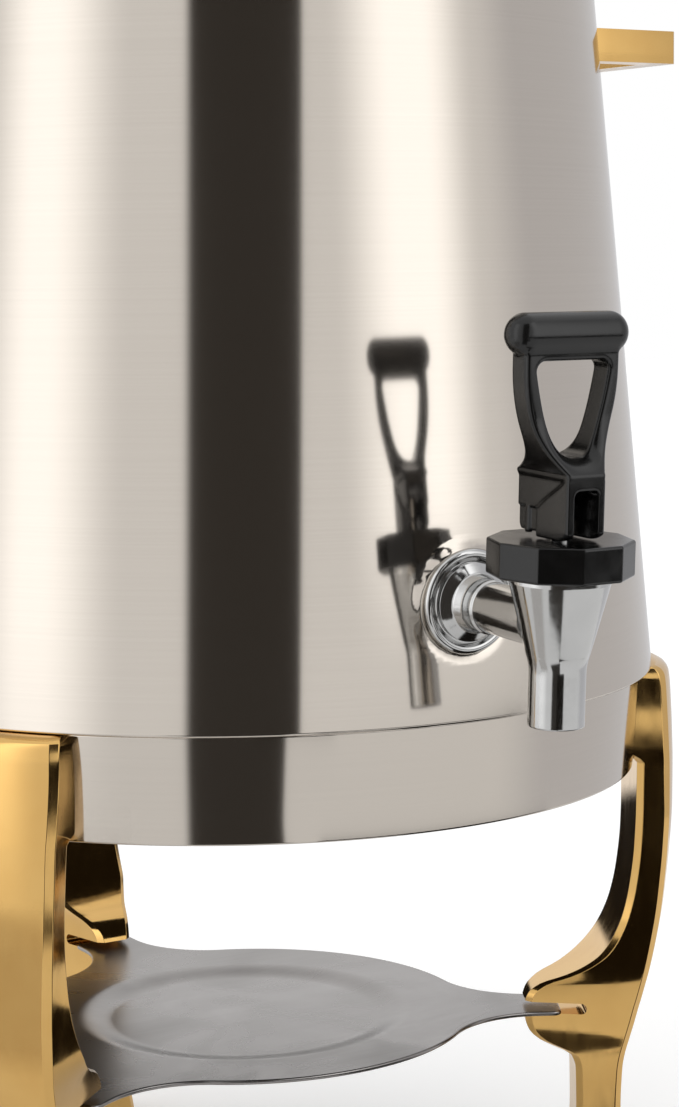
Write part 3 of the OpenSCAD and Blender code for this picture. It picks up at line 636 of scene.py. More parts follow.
# Each row: height, outer reach from the leg's face, outer half width from the top's, inner reach and
# inner half width
LEG_ROWS = [
    (LEG_TOP, -5.5, -1.8, BAND_R - 8, LEG_HALF - 2.4),
    (LEG_TOP - 1.2, -3, -0.8, BAND_R - 8, LEG_HALF - 1.4),
    (LEG_TOP - 3.4, -1.6, -0.2, BAND_R - 8, LEG_HALF - 0.6),
    (SEAM_Z - 12, -0.8, 0, BAND_R - 8, LEG_HALF - 0.6),
    (SEAM_Z - 30, -0.1, -0.8, BAND_R - 8, LEG_HALF - 1.4),
    (BAND_FOOT_Z - 0.4, 0, -1.2, BAND_R - 2.2, LEG_HALF - 1.8),
    (TRAY_Z + 76, -0.1, -2, BAND_R - 2.3, LEG_HALF - 2.9),
    (TRAY_Z + 62, -0.9, -3.1, BAND_R - 2.8, LEG_HALF - 3.8),
    (TRAY_Z + 47, -2.4, -4.6, BAND_R - 4.5, LEG_HALF - 4.4),
    (TRAY_Z + 37, -3.7, -5.7, BAND_R - 6.7, LEG_HALF - 4.7),
    (TRAY_Z + 29, -5.1, -6.6, BAND_R - 9.8, LEG_HALF - 5),
    (TRAY_Z + 22, -6.5, -7.4, BAND_R - 14.3, LEG_HALF - 5.8),
    (TRAY_Z + 17, -7.6, -8, BAND_R - 19.8, 15.5),
    (TRAY_Z + 13, -8.6, -8.4, BAND_R - 26.3, 12.4),
    (TRAY_Z + 9, -9.7, -8.7, KNEE_R + 5.2, 9),
    (TRAY_Z + 5, -10.8, -9, KNEE_R + 1.1, 7.4),
    (TRAY_Z + 1, -12, -9.3, KNEE_R, 7),
    (TRAY_Z - 4.5, -13.5, -9.6, KNEE_R + 0.3, 7),
    (TRAY_Z - 8.5, -14.7, -9.8, KNEE_R + 1.7, 7.5),
    (TRAY_Z - 11.5, -15.6, -9.9, KNEE_R + 5.2, 8.8),
    (TRAY_Z - 13.5, -16.2, -10, KNEE_R + 9.8, 10.2),
    (TRAY_Z - 16.5, -17, -10.1, KNEE_R + 16.2, 11.6),
    (TRAY_Z - 21.5, -17.8, -10.2, KNEE_R + 17.8, 12),
    (40, -18.5, -10.3, KNEE_R + 18, 12),
    (27, -17.4, -9.5, KNEE_R + 17.4, 12.6),
    (15, -13.2, -7.6, KNEE_R + 16.6, 14),
    (8, -9.2, -6, KNEE_R + 16, 15.2),
    (2.5, -7.6, -5.4, KNEE_R + 15.8, 15.8),
    (0, -9.4, -6.8, KNEE_R + 17, 14.6),
]


def gentle_slopes(x, y):
    """Slopes of a curve through points that never overshoots them."""
    step = np.diff(x)
    rise = np.diff(y) / step
    slope = np.zeros(len(x))
    slope[0] = rise[0]
    slope[-1] = rise[-1]
    for i in range(1, len(x) - 1):
        if rise[i - 1] * rise[i] > 0:
            before = 2 * step[i] + step[i - 1]
            after = step[i] + 2 * step[i - 1]
            slope[i] = (before + after) / (before / rise[i - 1] + after / rise[i])
    return slope


def smooth_column(x, y, at):
    """A smooth curve through (x, y), read at each of the places asked for."""
    slope = gentle_slopes(x, y)
    found = []
    for value in at:
        i = int(np.clip(np.searchsorted(x, value) - 1, 0, len(x) - 2))
        h = x[i + 1] - x[i]
        t = (value - x[i]) / h
        found.append(
            (2 * t**3 - 3 * t**2 + 1) * y[i] + (t**3 - 2 * t**2 + t) * h * slope[i]
            + (3 * t**2 - 2 * t**3) * y[i + 1] + (t**3 - t**2) * h * slope[i + 1]
        )
    return found


def leg_ring(z, out, half, inner, inner_half):
    """Plan outline of the leg at one height, with rounded bevels and a crowned outer face."""

    def crown(x):
        return out - LEG_CROWN * (x / LEG_HALF) ** 2

    edge = crown(half - LEG_BEVEL)
    right = [
        (inner_half - LEG_BEVEL, inner, 0.45), (inner_half, inner + LEG_BEVEL, 0.45),
        (half, edge - LEG_BEVEL, 0.5), (half - LEG_BEVEL, edge, 0.5)
    ]
    face = [(half * s, crown(half * s)) for s in np.linspace(0.8, -0.8, 17)]
    left = [(-x, y, r) for x, y, r in reversed(right)]
    corners = right + [(x, y, 0) for x, y in face] + left
    return [(x, y, z) for x, y in closed_round(corners, steps=3, hold=0.12)]


def leg_rings():
    """Outlines of the leg from its sole up, on smooth curves through the rows."""
    rows = np.array(sorted(LEG_ROWS))
    step = 1.4
    heights = []
    for low, high in zip(rows[:, 0], rows[1:, 0]):
        heights.extend(np.linspace(low, high, max(2, round((high - low) / step)), endpoint=False))
    heights.append(rows[-1, 0])
    columns = [smooth_column(rows[:, 0], rows[:, i], heights) for i in range(1, 5)]
    rings = []
    for z, out, half, inner, inner_half in zip(heights, *columns):
        rings.append(leg_ring(z, LEG_FACE + out, LEG_HALF + half, inner, inner_half))
    return rings


def slot_cutter():
    """A wide bar with a round end that cuts the tray's slot into a leg."""
    start = KNEE_R - 20
    half_width = 40
    arc = arc_points(SLOT_REACH - SLOT_H / 2, TRAY_UNDER + SLOT_H / 2, SLOT_H / 2, -90, 90, 12)
    outline = [(start, TRAY_UNDER)] + arc + [(start, TRAY_UNDER + SLOT_H)]
    return loft("slot_cutter", [[(x, y, z) for y, z in outline] for x in (-half_width, half_width)])


def seat_cutter():
    """The band's cone with a little clearance, which cuts a leg's seat."""
    top = SEAM_Z + 1
    foot = BAND_FOOT_Z - 0.01
    gap = 0.05
    cone = [(CUTTER_AXIS_R, foot), (band_r(foot) + gap, foot), (band_r(top) + gap, top), (CUTTER_AXIS_R, top)]
    return lathe("seat_cutter", cone, columns=360)


def build_legs():
    rings = leg_rings()
    for node, turn in LEG_TURNS.items():
        leg = loft("cast_" + node, rings)
        cut(leg, seat_cutter())
        cut(leg, slot_cutter())
        leg.data.transform(Matrix.Rotation(math.radians(turn), 4, "Z"))
        shade(leg, 32)
        finish_piece(leg, "urn", "gold", node)


# ---------------------------------------------------------------- fuel tray


def tray_outline():
    """The tray's outline with its three tabs, anticlockwise as seen from above."""
    fillet_x = TAB_HALF + TAB_FILLET
    fillet_y = math.sqrt((TRAY_R + TAB_FILLET) ** 2 - fillet_x**2)
    turn = math.degrees(math.atan(fillet_x / fillet_y))
    side_x = TAB_HALF - TAB_CORNER
    side_y = TAB_REACH - TAB_CORNER
    third = arc_points(fillet_x, fillet_y, TAB_FILLET, 270 - turn, 180, 24)
    third += [(TAB_HALF, y) for y in rows_between(fillet_y, side_y, 2)]
    third += arc_points(side_x, side_y, TAB_CORNER, 0, 90, 8)
    third += [(x, TAB_REACH) for x in rows_between(side_x, -side_x, 2)]
    third += arc_points(-side_x, side_y, TAB_CORNER, 90, 180, 8)
    third += [(-TAB_HALF, y) for y in rows_between(side_y, fillet_y, 2)]
    third += arc_points(-fillet_x, fillet_y, TAB_FILLET, 0, turn - 90, 24)
    third += arc_points(0, 0, TRAY_R, 90 + turn + 1, 210 - turn - 1, 36)
    return [spin(x, y, math.radians(120 * k)) for k in range(3) for x, y in third]


def outline_normals(outline):
    """Outward normals at the points of an anticlockwise outline."""
    points = np.array(outline)
    along = np.roll(points, -1, axis=0) - np.roll(points, 1, axis=0)
    along /= np.linalg.norm(along, axis=1)[:, None]
    return np.stack([along[:, 1], -along[:, 0]], axis=1)


def dish_drop(r):
    """Depth of the dish at a radius, with soft shoulders."""
    return DISH_DEPTH * (1 - float(smoothstep(r, DISH_R - 11, DISH_R + 2.5)))


def build_tray():
    """The tray as one loft: over its top from the middle, round its edge and back under it."""
    outline = np.array(tray_outline())
    normals = outline_normals(outline)
    direction = outline / np.linalg.norm(outline, axis=1)[:, None]
    flat_r = 66
    rim = 0.55
    flat = direction * flat_r
    brink = outline - normals * (rim + 0.2)
    dish_rows = list(np.linspace(2, 45, 9)) + list(np.linspace(46, 61, 24)) + [63, flat_r]

    def dish_ring(r, top):
        return [(*(d * r), top - dish_drop(r)) for d in direction]

    rings = [dish_ring(r, TRAY_Z) for r in dish_rows]
    for share in (0.3, 0.6, 0.85):
        rings.append([(*p, TRAY_Z) for p in flat + (brink - flat) * share])
    rings.append([(*p, TRAY_Z) for p in brink])
    for i in range(11):
        a = math.radians(90 - 180 * i / 10)
        inset = rim * (1 - math.cos(a))
        drop = TRAY_T / 2 * (1 - math.sin(a))
        rings.append([(*p, TRAY_Z - drop) for p in outline - normals * inset])
    rings.append([(*p, TRAY_UNDER) for p in brink])
    rings += [dish_ring(r, TRAY_UNDER) for r in reversed(dish_rows)]
    tray = loft("burner_tray", rings)
    finish_piece(tray, "urn", "tray_steel", "fuel_tray")


# ---------------------------------------------------------------- handles and lid


def build_handles():
    for side in ("left", "right"):
        bar = softened_copy("handle_" + side, "bar_handle_" + side, 0.7)
        finish_piece(bar, "urn", "gold", "handle_" + side)
    pads = softened_copy("handle_pads", "handle_foot_pads", 0.35, segments=2)
    finish_piece(pads, "urn", "gold", "handle_pads")


def dome_curve(inset):
    """Points of the dome from its foot to just before its top."""
    count = 40
    turns = [math.pi / 2 * i / count for i in range(count)]
    return [((DOME_R - inset) * math.cos(a), DOME_Z + (DOME_H - inset) * math.sin(a)) for a in turns]


def build_lid():
    drop = 3
    brim = LID_Z + LID_T
    crease = rounded([
        (LID_EDGE_R, LID_Z - drop), (LID_EDGE_R, brim, 0.9), (DOME_R, brim, 1.2), (DOME_R, DOME_Z)
    ])
    under = rounded([
        (DOME_R - LID_T, DOME_Z), (DOME_R - LID_T, LID_Z, 0.8), (LID_EDGE_R - LID_T, LID_Z, 0.3),
        (LID_EDGE_R - LID_T, LID_Z - drop)
    ])
    centre = [(AXIS_R, DOME_Z + DOME_H), (AXIS_R, DOME_Z + DOME_H - LID_T)]
    inside = dome_curve(LID_T)[::-1]
    dome = lathe("lid_dome", crease[:-1] + dome_curve(0) + centre + inside[:-1] + under)
    finish_piece(dome, "lid", "steel", "lid_shell")

    outer = inner_wall_r(MOUTH_Z) - 1.2
    top = LID_Z - 0.02
    foot = LID_Z - SKIRT_H
    ring = lathe("lid_ring", closed_round([
        (outer, top, 0.2), (outer, foot + 2, 1.5), (outer - 2, foot, 0.3), (outer - 2 - LID_T, foot, 0.3),
        (outer - LID_T, foot + 2, 1.5), (outer - LID_T, top, 0.2)
    ]), columns=192)
    finish_piece(ring, "lid", "steel", "lid_skirt")
    bar = softened_copy("lid_handle", "lid_bar_handle", 0.7)
    finish_piece(bar, "lid", "gold", "lid_handle")


# ---------------------------------------------------------------- tap


def build_tap_body():
    """The tap's casting: the upright with spout and funnel, and the shank across it."""
    spout_top = -14
    sweep = []
    for i in range(1, 13):
        s = i / 12
        sweep.append((SPOUT_R + 1.1 * s * s, spout_top + 6 * s))
    spout = [(OUTLET_R, -SPOUT_DROP), (SPOUT_R, -SPOUT_DROP, 0.5), (SPOUT_R, spout_top - 0.2)]
    funnel_top = NUT_Z - 2
    funnel = [(sweep[-1][0] + 0.1, -7.9), (FUNNEL_R, funnel_top, 1), (FUNNEL_R, NUT_Z)]
    chamber = NECK_R - 2.2
    neck = [(NECK_R, NUT_Z), (NECK_R, GASKET_Z), (chamber, GASKET_Z), (chamber, funnel_top)]
    bore_foot = [(8, -6), (OUTLET_R, -6)]
    profile = rounded(spout) + sweep + rounded(funnel)[1:] + neck + bore_foot
    casting = lathe("tap_upright", profile, tap_place(), columns=160)

    seat = FLANGE_SEAT
    passage = SHANK_R - 3.1
    inner_end = -15.5
    outer_end = seat + 34.5
    hub = rounded([
        (passage, inner_end), (SHANK_R, inner_end, 0.4), (SHANK_R, seat - 0.2),
        (SHOULDER_R, seat, 0.2), (SHOULDER_R, seat + 0.9, 0.3), (SHOULDER_R - 0.9, seat + 1.6, 0.5),
        (SHANK_R + 1.3, seat + 3.2, 1.5), (SHANK_R + 0.1, seat + 6.5, 3), (SHANK_R + 0.5, seat + 10, 0.4),
        (SHANK_R + 0.5, seat + 11, 0.4), (SHANK_R, seat + 11.8, 0.4), (SHANK_R, outer_end),
        (passage, outer_end)
    ], steps=4)
    shank = lathe("tap_shank", hub, shank_place(), columns=128)
    body = join("tap_casting", casting, shank)
    finish_piece(body, "urn", "chrome", "tap_body")


def build_flange():
    """The pressed escutcheon, with a rolled bead round its edge."""
    bead_r = 1.6
    back = 1.5
    front = FLANGE_SEAT - 0.01
    profile = [(SHANK_HOLE_R, back), (SHOULDER_R + 0.2, back)]
    profile += arc_points(FLANGE_R - bead_r, 1.7, bead_r, -100, 120, 16)
    profile += [(FLANGE_R - 2.9, 1.9), (SHOULDER_R + 0.5, front), (SHANK_HOLE_R, front)]
    flange = lathe("tap_escutcheon", profile, shank_place(), columns=160)
    finish_piece(flange, "urn", "chrome", "tap_flange")


def nut_ring(z, inset):
    """Ten-sided outline with rounded corners, shrunk by an inset."""
    flat = NUT_R * math.cos(math.pi / NUT_SIDES) - inset
    corner_r = flat / math.cos(math.pi / NUT_SIDES)
    corners = []
    for k in range(NUT_SIDES):
        a = math.radians(NUT_TURN + 360 / NUT_SIDES * k)
        corners.append((corner_r * math.cos(a), corner_r * math.sin(a), 1.1))
    return [(x, y, z) for x, y in closed_round(corners, steps=3)]


def drill(nut, name, radius, low, high, columns):
    """Cuts a round hole about the tap's upright axis."""
    profile = [(CUTTER_AXIS_R, low), (radius, low), (radius, high), (CUTTER_AXIS_R, high)]
    cut(nut, lathe(name, profile, tap_place(), columns))


def build_nut():
    """The bonnet nut, with rounded rims, bored for the tap's neck and drilled for the stem."""
    top = NUT_Z + NUT_H
    rim = 0.8
    rows = [(0, 3), (0, rim + ARC_HOLD)]
    for i in range(5):
        a = math.radians(90 * i / 4)
        rows.append((rim * (1 - math.cos(a)), rim * (1 - math.sin(a))))
    rows.append((rim + ARC_HOLD, 0))
    rings = [nut_ring(NUT_Z + rise, inset) for rise, inset in rows]
    rings += [nut_ring(top - drop, inset) for drop, inset in reversed(rows)]
    nut = loft("bonnet_cap", rings, tap_place())
    drill(nut, "bore_cutter", NECK_R, NUT_Z - 1, GASKET_Z + 1.2, 96)
    drill(nut, "hole_cutter", STEM_HOLE_R, NUT_Z + 2, top + 1, 48)
    finish_piece(nut, "urn", "black_plastic", "bonnet_nut")


def spring_ring(turns):
    """Outline of the wire after a number of turns up the coil."""
    low = COLLAR_TOP + SPRING_WIRE_R
    high = GASKET_Z - SPRING_WIRE_R
    a = 2 * math.pi * turns
    ring = []
    for k in range(SPRING_SIDES):
        b = 2 * math.pi * k / SPRING_SIDES
        r = SPRING_R + SPRING_WIRE_R * math.cos(b)
        z = low + (high - low) * turns / SPRING_TURNS + SPRING_WIRE_R * math.sin(b)
        ring.append((r * math.cos(a), r * math.sin(a), z))
    return ring


def build_spring():
    """The return spring, coiled from the stem's collar up to the bonnet gasket."""
    rings = [spring_ring(i / SPRING_STEPS) for i in range(SPRING_TURNS * SPRING_STEPS + 1)]
    spring = loft("coil_spring", rings, tap_place())
    finish_piece(spring, "urn", "chrome", "return_spring")
    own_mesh(spring)


# ---------------------------------------------------------------- lever


def flare(z):
    """Rises from 0 at the block's top to 1 below the grip, fast at first."""
    t = np.clip((z - BLOCK_TOP) / (GRIP_Z - 8 - BLOCK_TOP), 0, 1)
    return 1 - (1 - t) ** 2.3


def lever_half(z):
    """Half width of the lever's outline: a straight block, then a flare that fills out towards the grip."""
    return BLOCK_HALF + (LOOP_W / 2 - BLOCK_HALF) * flare(z)


def egg_half(z):
    """Half width of the opening in the loop, an egg pointed down."""
    share = np.clip((z - LOOP_LOW) / (LOOP_HIGH - LOOP_LOW), 0, 1)
    return (lever_half(LOOP_HIGH) - ARM_W) * share**0.36


def sweep_share(z, span, power):
    """Falls from 1 at the block's top to 0 a span above it."""
    return (1 - np.clip((z - BLOCK_TOP) / span, 0, 1)) ** power


def lever_front(z):
    return -ARM_D / 2 - (BLOCK_FRONT - ARM_D / 2) * sweep_share(z, 17, 2.2)


def lever_back(z):
    return ARM_D / 2 + (BLOCK_BACK - ARM_D / 2) * sweep_share(z, 13, 3)


def heel_point(degrees):
    """Point of the involute heel, which lifts the stem by the same amount for each degree."""
    a = math.radians(degrees)
    h = HEEL_DROP + LIFT_PER_RAD * a
    y = -h * math.sin(a) - LIFT_PER_RAD * math.cos(a)
    return y, PIN_Z - h * math.cos(a) + LIFT_PER_RAD * math.sin(a)


def face_outline():
    rise = [BLOCK_TOP + (GRIP_Z - BLOCK_TOP) * i / 40 for i in range(41)]
    right = [(lever_half(z), z) for z in rise]
    return [(-BLOCK_HALF, HEEL_Z), (BLOCK_HALF, HEEL_Z)] + right + [(-x, z) for x, z in reversed(right)]


def opening_outline():
    corner = 3
    top = LOOP_HIGH - corner
    wide = float(egg_half(top))
    rise = [LOOP_LOW + (top - LOOP_LOW) * (i / 40) ** 2.4 for i in range(41)]
    right = [(float(egg_half(z)), z) for z in rise] + arc_points(wide - corner, top, corner, 15, 90, 6)
    return right + [(-x, z) for x, z in reversed(right[1:])]


def side_outline():
    end = heel_point(LEVER_TRAVEL)
    rise = [BLOCK_TOP + (GRIP_Z - BLOCK_TOP) * (i / 30) ** 1.6 for i in range(31)]
    front_foot = end[1] + (end[0] + BLOCK_FRONT) * math.tan(math.radians(LEVER_TRAVEL))
    outline = arc_points(BLOCK_BACK - REAR_ROUND, HEEL_Z + REAR_ROUND, REAR_ROUND, 0, -90, 8)
    outline += [heel_point(LEVER_TRAVEL * i / 12) for i in range(13)]
    outline += [(-BLOCK_FRONT, front_foot)]
    outline += [(float(lever_front(z)), z) for z in rise]
    return outline + [(float(lever_back(z)), z) for z in reversed(rise)]


def cheek_outline():
    """Raised cheek on each flank, bounded above by an S-shaped edge."""
    run = CHEEK_BACK + BLOCK_FRONT - 1.5
    outline = [(-BLOCK_FRONT - 2, HEEL_Z - 2), (CHEEK_BACK, HEEL_Z - 2)]
    for i in range(25):
        s = i / 24
        across = CHEEK_BACK - run * (s - 0.1 * math.sin(2 * math.pi * s))
        outline.append((across, HEEL_Z + CHEEK_LOW + CHEEK_RISE * s * s * (3 - 2 * s)))
    return outline + [(-BLOCK_FRONT - 2, HEEL_Z + CHEEK_LOW + CHEEK_RISE)]


def slot_outline():
    r = 1.8
    top = PIN_Z + 6.6
    right = [(SLOT_HALF, HEEL_Z - 3)] + arc_points(SLOT_HALF - r, top - r, r, 0, 90, 5)
    return right + [(-x, z) for x, z in reversed(right)]


def outline_distance(outline, a, b):
    """Signed distance from points (a, b) to a closed outline, below zero inside."""
    nearest = np.full(a.shape, 1e9)
    inside = np.zeros(a.shape, bool)
    for (a0, b0), (a1, b1) in zip(outline, outline[1:] + outline[:1]):
        length = (a1 - a0) ** 2 + (b1 - b0) ** 2
        if length < 1e-12:
            continue
        t = np.clip(((a - a0) * (a1 - a0) + (b - b0) * (b1 - b0)) / length, 0, 1)
        nearest = np.minimum(nearest, np.hypot(a - a0 - t * (a1 - a0), b - b0 - t * (b1 - b0)))
        if b0 != b1:
            crosses = ((b0 > b) != (b1 > b)) & (a < (a1 - a0) * (b - b0) / (b1 - b0) + a0)
            inside ^= crosses
    return np.where(inside, -nearest, nearest)


def meet(a, b, r):
    """The part inside both fields, with a rounded edge of radius r."""
    return np.minimum(-r, np.maximum(a, b)) + np.hypot(np.maximum(a + r, 0), np.maximum(b + r, 0))


def merge(a, b, r):
    """The part inside either field, with a fillet of radius r."""
    return -meet(-a, -b, r)


def lever_field(x, y, z):
    """Distance field of the lever, from broadcasting grids of x, y and z in millimetres."""
    xz = np.broadcast_arrays(x[:, 0, :], z[:, 0, :])
    yz = np.broadcast_arrays(y[0, :, :], z[0, :, :])
    face = outline_distance(face_outline(), *xz)[:, None, :]
    opening = outline_distance(opening_outline(), *xz)[:, None, :]
    slot = outline_distance(slot_outline(), *xz)[:, None, :]
    side = outline_distance(side_outline(), *yz)[None, :, :]
    cheek = outline_distance(cheek_outline(), *yz)[None, :, :]

    inset = FLANK_INSET * smoothstep(cheek, -0.7, 1.5) * (1 - smoothstep(z, RIDGE_Z - 1.2, RIDGE_Z + 1))
    foot = smoothstep(y, CHEEK_BACK - 0.3, CHEEK_BACK + 0.4)
    foot = foot * (1 - smoothstep(z, HEEL_Z + CHEEK_LOW - 0.4, HEEL_Z + CHEEK_LOW + 0.4))
    rib = 1 - smoothstep(abs(y - RIB_Y), 0.7, 1.5)
    inset = inset + (FOOT_INSET - FLANK_INSET) * foot * (1 - rib)

    edge = 0.9 + 0.7 * smoothstep(z, BLOCK_TOP - 2, BLOCK_TOP + 8)
    body = meet(face + inset, side, edge)
    saddle = smoothstep(-y, 1.5, 8) * (1 - smoothstep(z, LOOP_LOW + 3, LOOP_LOW + 12))
    body = meet(body, -opening, 1.3 + 2.6 * saddle)
    body = meet(body, -slot, 0.25)
    across = np.hypot(y, z - GRIP_Z)
    grip = meet(across - GRIP_R, abs(x) - GRIP_L / 2, 5.7)
    return merge(body, grip, 1.0)


def surface_net(name, field, low, high, step, place):
    """Skins a distance field, sampled on a grid, with one vertex for each cell on its surface."""
    axes = [np.arange(a, b + step, step) for a, b in zip(low, high)]
    x, y, z = np.meshgrid(*axes, indexing="ij", sparse=True)
    value = field(x, y, z) * np.ones([len(a) for a in axes])
    cells = [n - 1 for n in value.shape]
    total = np.zeros((*cells, 3))
    count = np.zeros(cells)
    for axis in range(3):
        others = [k for k in range(3) if k != axis]
        for corner in ((0, 0), (0, 1), (1, 0), (1, 1)):
            first = [slice(0, n) for n in cells]
            for k, shift in zip(others, corner):
                first[k] = slice(shift, shift + cells[k])
            second = list(first)
            second[axis] = slice(1, cells[axis] + 1)
            f0 = value[tuple(first)]
            f1 = value[tuple(second)]
            crossing = (f0 < 0) != (f1 < 0)
            share = f0 / np.where(crossing, f0 - f1, 1)
            total[..., axis] += np.where(crossing, share, 0)
            for k, shift in zip(others, corner):
                total[..., k] += np.where(crossing, shift, 0)
            count += crossing
    used = count > 0
    number = np.full(cells, -1)
    number[used] = np.arange(used.sum())
    points = np.array(low) + (np.argwhere(used) + total[used] / count[used][:, None]) * step
    quads = [quad for axis in range(3) for quad in net_quads(value, number, axis)]
    return make_mesh(name, points.tolist(), quads, place, 60)


def net_quads(value, number, axis):
    """Quads round every grid edge along one axis that the surface crosses."""
    others = [k for k in range(3) if k != axis]
    start = [slice(1, -1)] * 3
    start[axis] = slice(0, -1)
    end = [slice(1, -1)] * 3
    end[axis] = slice(1, None)
    crossing = (value[tuple(start)] < 0) != (value[tuple(end)] < 0)
    found = np.argwhere(crossing)
    for k in others:
        found[:, k] += 1
    quads = []
    for corner in ((1, 1), (0, 1), (0, 0), (1, 0)):
        cell = found.copy()
        for k, back in zip(others, corner):
            cell[:, k] -= back
        quads.append(number[tuple(cell.T)])
    return np.stack(quads, axis=1).tolist()


def build_lever():
    lever = surface_net("lever_loop", lever_field, LEVER_LOW, LEVER_HIGH, LEVER_STEP, tap_place())
    even = lever.modifiers.new("even", "SMOOTH")
    even.factor = 0.5
    even.iterations = 2
    apply_modifiers(lever)
    shade(lever, 60)
    finish_piece(lever, "lever", "black_plastic", "tap_lever")


def dress_carried_nodes():
    """Gives each CAD node that stays its procedural finish."""
    for part in frame["record"]["subparts"]:
        node = frame["nodes"][part["node"]]
        node.data.materials.clear()
        node.data.materials.append(FINISHES[part["material_slot"]])


# ---------------------------------------------------------------- studio

CAMERA_PLACE = (-443.2, -783.3, 346.6)
CAMERA_HEADING = 31.83
CAMERA_PITCH = 6.543
CAMERA_ROLL = 0.676
FOCAL_PIXELS = 2557.8
IMAGE_HEIGHT = 1107
SENSOR = 36
CAMERA_TURN = math.atan2(CAMERA_PLACE[1], CAMERA_PLACE[0])


def build_camera():
    heading = math.radians(CAMERA_HEADING)
    pitch = math.radians(CAMERA_PITCH)
    roll = math.radians(CAMERA_ROLL)
    forward = Vector((
        math.sin(heading) * math.cos(pitch), math.cos(heading) * math.cos(pitch), -math.sin(pitch)
    ))
    right = Vector((math.cos(heading), -math.sin(heading), 0))
    down = forward.cross(right)
    across = math.cos(roll) * right + math.sin(roll) * down
    upward = math.sin(roll) * right - math.cos(roll) * down
    axes = Matrix((across, upward, -forward)).transposed().to_4x4()
    lens = bpy.data.cameras.new("camera")
    lens.sensor_width = SENSOR
    lens.lens = FOCAL_PIXELS * SENSOR / IMAGE_HEIGHT
    lens.clip_start = 0.01
    lens.clip_end = 50
    camera = bpy.data.objects.new("camera", lens)
    bpy.context.scene.collection.objects.link(camera)
    camera.matrix_world = Matrix.Translation(Vector(CAMERA_PLACE) * MM) @ axes
    bpy.context.scene.camera = camera


def card(name, foot, head, glow, edges=None):
    """A curved studio sheet round the object that only shows in reflections.

    Its foot and its head are each (radius, height, from_turn, to_turn), in millimetres and in degrees
    from the camera's side. glow is (red, green, blue, strength).
    """
    columns = 48
    points = []
    shares = []
    for row, (radius, z, start, end) in enumerate((foot, head)):
        for c in range(columns + 1):
            a = CAMERA_TURN + math.radians(start + (end - start) * c / columns)
            points.append((radius * math.cos(a), radius * math.sin(a), z))
            shares.append((c / columns, row))
    faces = [(c, c + 1, columns + 2 + c, columns + 1 + c) for c in range(columns)]
    mesh = bpy.data.meshes.new(name)
    mesh.from_pydata([Vector(p) * MM for p in points], [], faces)
    grid = mesh.uv_layers.new(name="card")
    for loop in mesh.loops:
        grid.data[loop.index].uv = shares[loop.vertex_index]
    sheet = link_mesh(name, mesh)
    sheet.data.materials.append(card_finish(name, glow, edges))
    for ray in ("camera", "diffuse", "shadow", "transmission", "volume_scatter"):
        setattr(sheet, "visible_" + ray, False)


def blank_material(name):
    """A new material with nothing in its node tree but the output."""
    material = bpy.data.materials.new(name)
    material.use_nodes = True
    tree = material.node_tree
    tree.nodes.clear()
    return material, tree, tree.nodes.new("ShaderNodeOutputMaterial")


def card_finish(name, glow, edges):
    """A glowing or dark sheet. edges gives its fade widths (start, end, foot, head) as shares of its size."""
    material, tree, output = blank_material(name)
    light = tree.nodes.new("ShaderNodeEmission")
    light.inputs["Color"].default_value = (*glow[:3], 1)
    light.inputs["Strength"].default_value = glow[3]
    if edges is None:
        tree.links.new(light.outputs["Emission"], output.inputs["Surface"])
        return material
    place = tree.nodes.new("ShaderNodeTexCoord")
    split = tree.nodes.new("ShaderNodeSeparateXYZ")
    tree.links.new(place.outputs["UV"], split.inputs["Vector"])
    share = None
    borders = [("X", 0, edges[0]), ("X", 1, 1 - edges[1]), ("Y", 0, edges[2]), ("Y", 1, 1 - edges[3])]
    for axis, outer, inner in borders:
        ramp = tree.nodes.new("ShaderNodeMapRange")
        ramp.interpolation_type = "SMOOTHSTEP"
        ramp.inputs["From Min"].default_value = outer
        ramp.inputs["From Max"].default_value = inner
        tree.links.new(split.outputs[axis], ramp.inputs["Value"])
        if share is None:
            share = ramp.outputs["Result"]
            continue
        both = tree.nodes.new("ShaderNodeMath")
        both.operation = "MULTIPLY"
        tree.links.new(share, both.inputs[0])
        tree.links.new(ramp.outputs["Result"], both.inputs[1])
        share = both.outputs["Value"]
    clear = tree.nodes.new("ShaderNodeBsdfTransparent")
    mix = tree.nodes.new("ShaderNodeMixShader")
    tree.links.new(share, mix.inputs["Fac"])
    tree.links.new(clear.outputs["BSDF"], mix.inputs[1])
    tree.links.new(light.outputs["Emission"], mix.inputs[2])
    tree.links.new(mix.outputs["Shader"], output.inputs["Surface"])
    return material


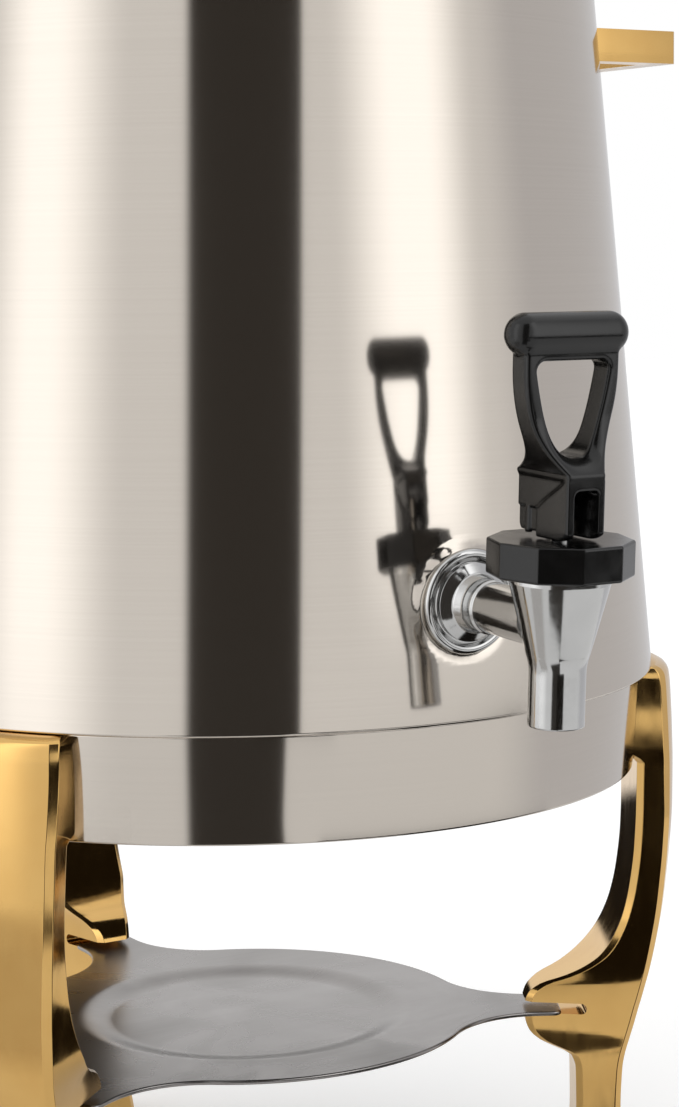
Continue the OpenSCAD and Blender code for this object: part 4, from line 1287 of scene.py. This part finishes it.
def build_cards():
    """Soft boxes and a grey card, the dark gap round the camera, and low flags.

    The flags and the mats just over the floor darken the castings' sides. pan_shade is painted shade: a black
    disc under the vessel that only the metal's reflections show.
    """
    dark = (0.05, 0.045, 0.04, 1)
    black = (0.012, 0.01, 0.008, 1)
    soft = (1, 1, 1, 1.85)
    faint = (1, 1, 1, 1.4)
    grey = (0.7, 0.7, 0.72, 1)
    warm_grey = (0.62, 0.6, 0.58, 1)
    card("dark_gap", (620, 0, -13.8, 10.6), (620, 1000, -10.2, 27.3), dark, (0.09, 0.024, 0.001, 0.02))
    card("dark_wedge", (400, 1, -14, 14), (620, 1, -13.8, 10.6), dark, (0.09, 0.024, 0.1, 0.001))
    card("tap_flag", (1000, 40, -20, 80), (1000, 165, -20, 80), black, (0.05, 0.1, 0.1, 0.08))
    card("leg_flag_far", (560, 70, 4, 23), (560, 155, 4, 23), black, (0.05, 0.05, 0.06, 0.08))
    card("leg_flag_near", (300, 0, 16, 78), (300, 112, 16, 78), black, (0.02, 0.05, 0.001, 0.05))
    card("knee_mat", (130, 1, 40, 95), (300, 1, 40, 78), black, (0.06, 0.05, 0.02, 0.001))
    card("inner_flag", (260, 0, 150, 200), (260, 110, 150, 200), black, (0.05, 0.05, 0.001, 0.08))
    # painted shade under the vessel: a black disc that darkens the rear leg's inner side in reflections
    card("pan_shade", (1, 169, 0, 360), (132, 169, 0, 360), black)
    card("left_leg_mat", (250, 1, -60, -20), (640, 1, -60, -24), warm_grey, (0.2, 0.2, 0.1, 0.5))
    card("left_leg_box", (560, 60, -88, -50), (560, 190, -88, -50), faint, (0.2, 0.2, 0.6, 0.1))
    card("left_box", (600, -60, -69, -27), (600, 1000, -69, -23), soft, (0.4, 0.5, 0.32, 0.1))
    card("right_box", (600, 215, 25, 66), (600, 1000, 25, 75), soft, (0.42, 0.38, 0.12, 0.1))
    card("grey_card", (640, 0, 66, 175), (640, 1000, 66, 175), grey, (0.2, 0.25, 0.001, 0.1))


def build_floor():
    """A wide white floor that keeps the object's shadow, and that the camera sees a little brighter."""
    reach = 6000
    white = 0.92
    corners = [(-reach, -reach, 0), (reach, -reach, 0), (reach, reach, 0), (-reach, reach, 0)]
    floor = make_mesh("floor", corners, [(0, 1, 2, 3)])
    material, tree, output = blank_material("floor")
    matt = tree.nodes.new("ShaderNodeBsdfDiffuse")
    matt.inputs["Color"].default_value = (white, white, white, 1)
    lift = tree.nodes.new("ShaderNodeEmission")
    lift.inputs["Strength"].default_value = 0.17
    rays = tree.nodes.new("ShaderNodeLightPath")
    seen = tree.nodes.new("ShaderNodeMath")
    seen.operation = "MAXIMUM"
    tree.links.new(rays.outputs["Is Camera Ray"], seen.inputs[0])
    tree.links.new(rays.outputs["Is Transmission Ray"], seen.inputs[1])
    both = tree.nodes.new("ShaderNodeAddShader")
    mix = tree.nodes.new("ShaderNodeMixShader")
    tree.links.new(matt.outputs["BSDF"], both.inputs[0])
    tree.links.new(lift.outputs["Emission"], both.inputs[1])
    tree.links.new(seen.outputs["Value"], mix.inputs["Fac"])
    tree.links.new(matt.outputs["BSDF"], mix.inputs[1])
    tree.links.new(both.outputs["Shader"], mix.inputs[2])
    tree.links.new(mix.outputs["Shader"], output.inputs["Surface"])
    floor.data.materials.append(material)


def build_light():
    world = bpy.data.worlds.new("studio")
    bpy.context.scene.world = world
    world.use_nodes = True
    sky = world.node_tree.nodes["Background"]
    sky.inputs["Color"].default_value = (1, 1, 1, 1)
    sky.inputs["Strength"].default_value = 1.0
    bpy.context.scene.view_settings.view_transform = "Standard"


build_camera()
build_light()
build_floor()
build_cards()
dress_carried_nodes()
build_vessel()
build_band()
build_legs()
build_tray()
build_handles()
build_lid()
build_tap_body()
build_flange()
build_nut()
build_spring()
build_lever()
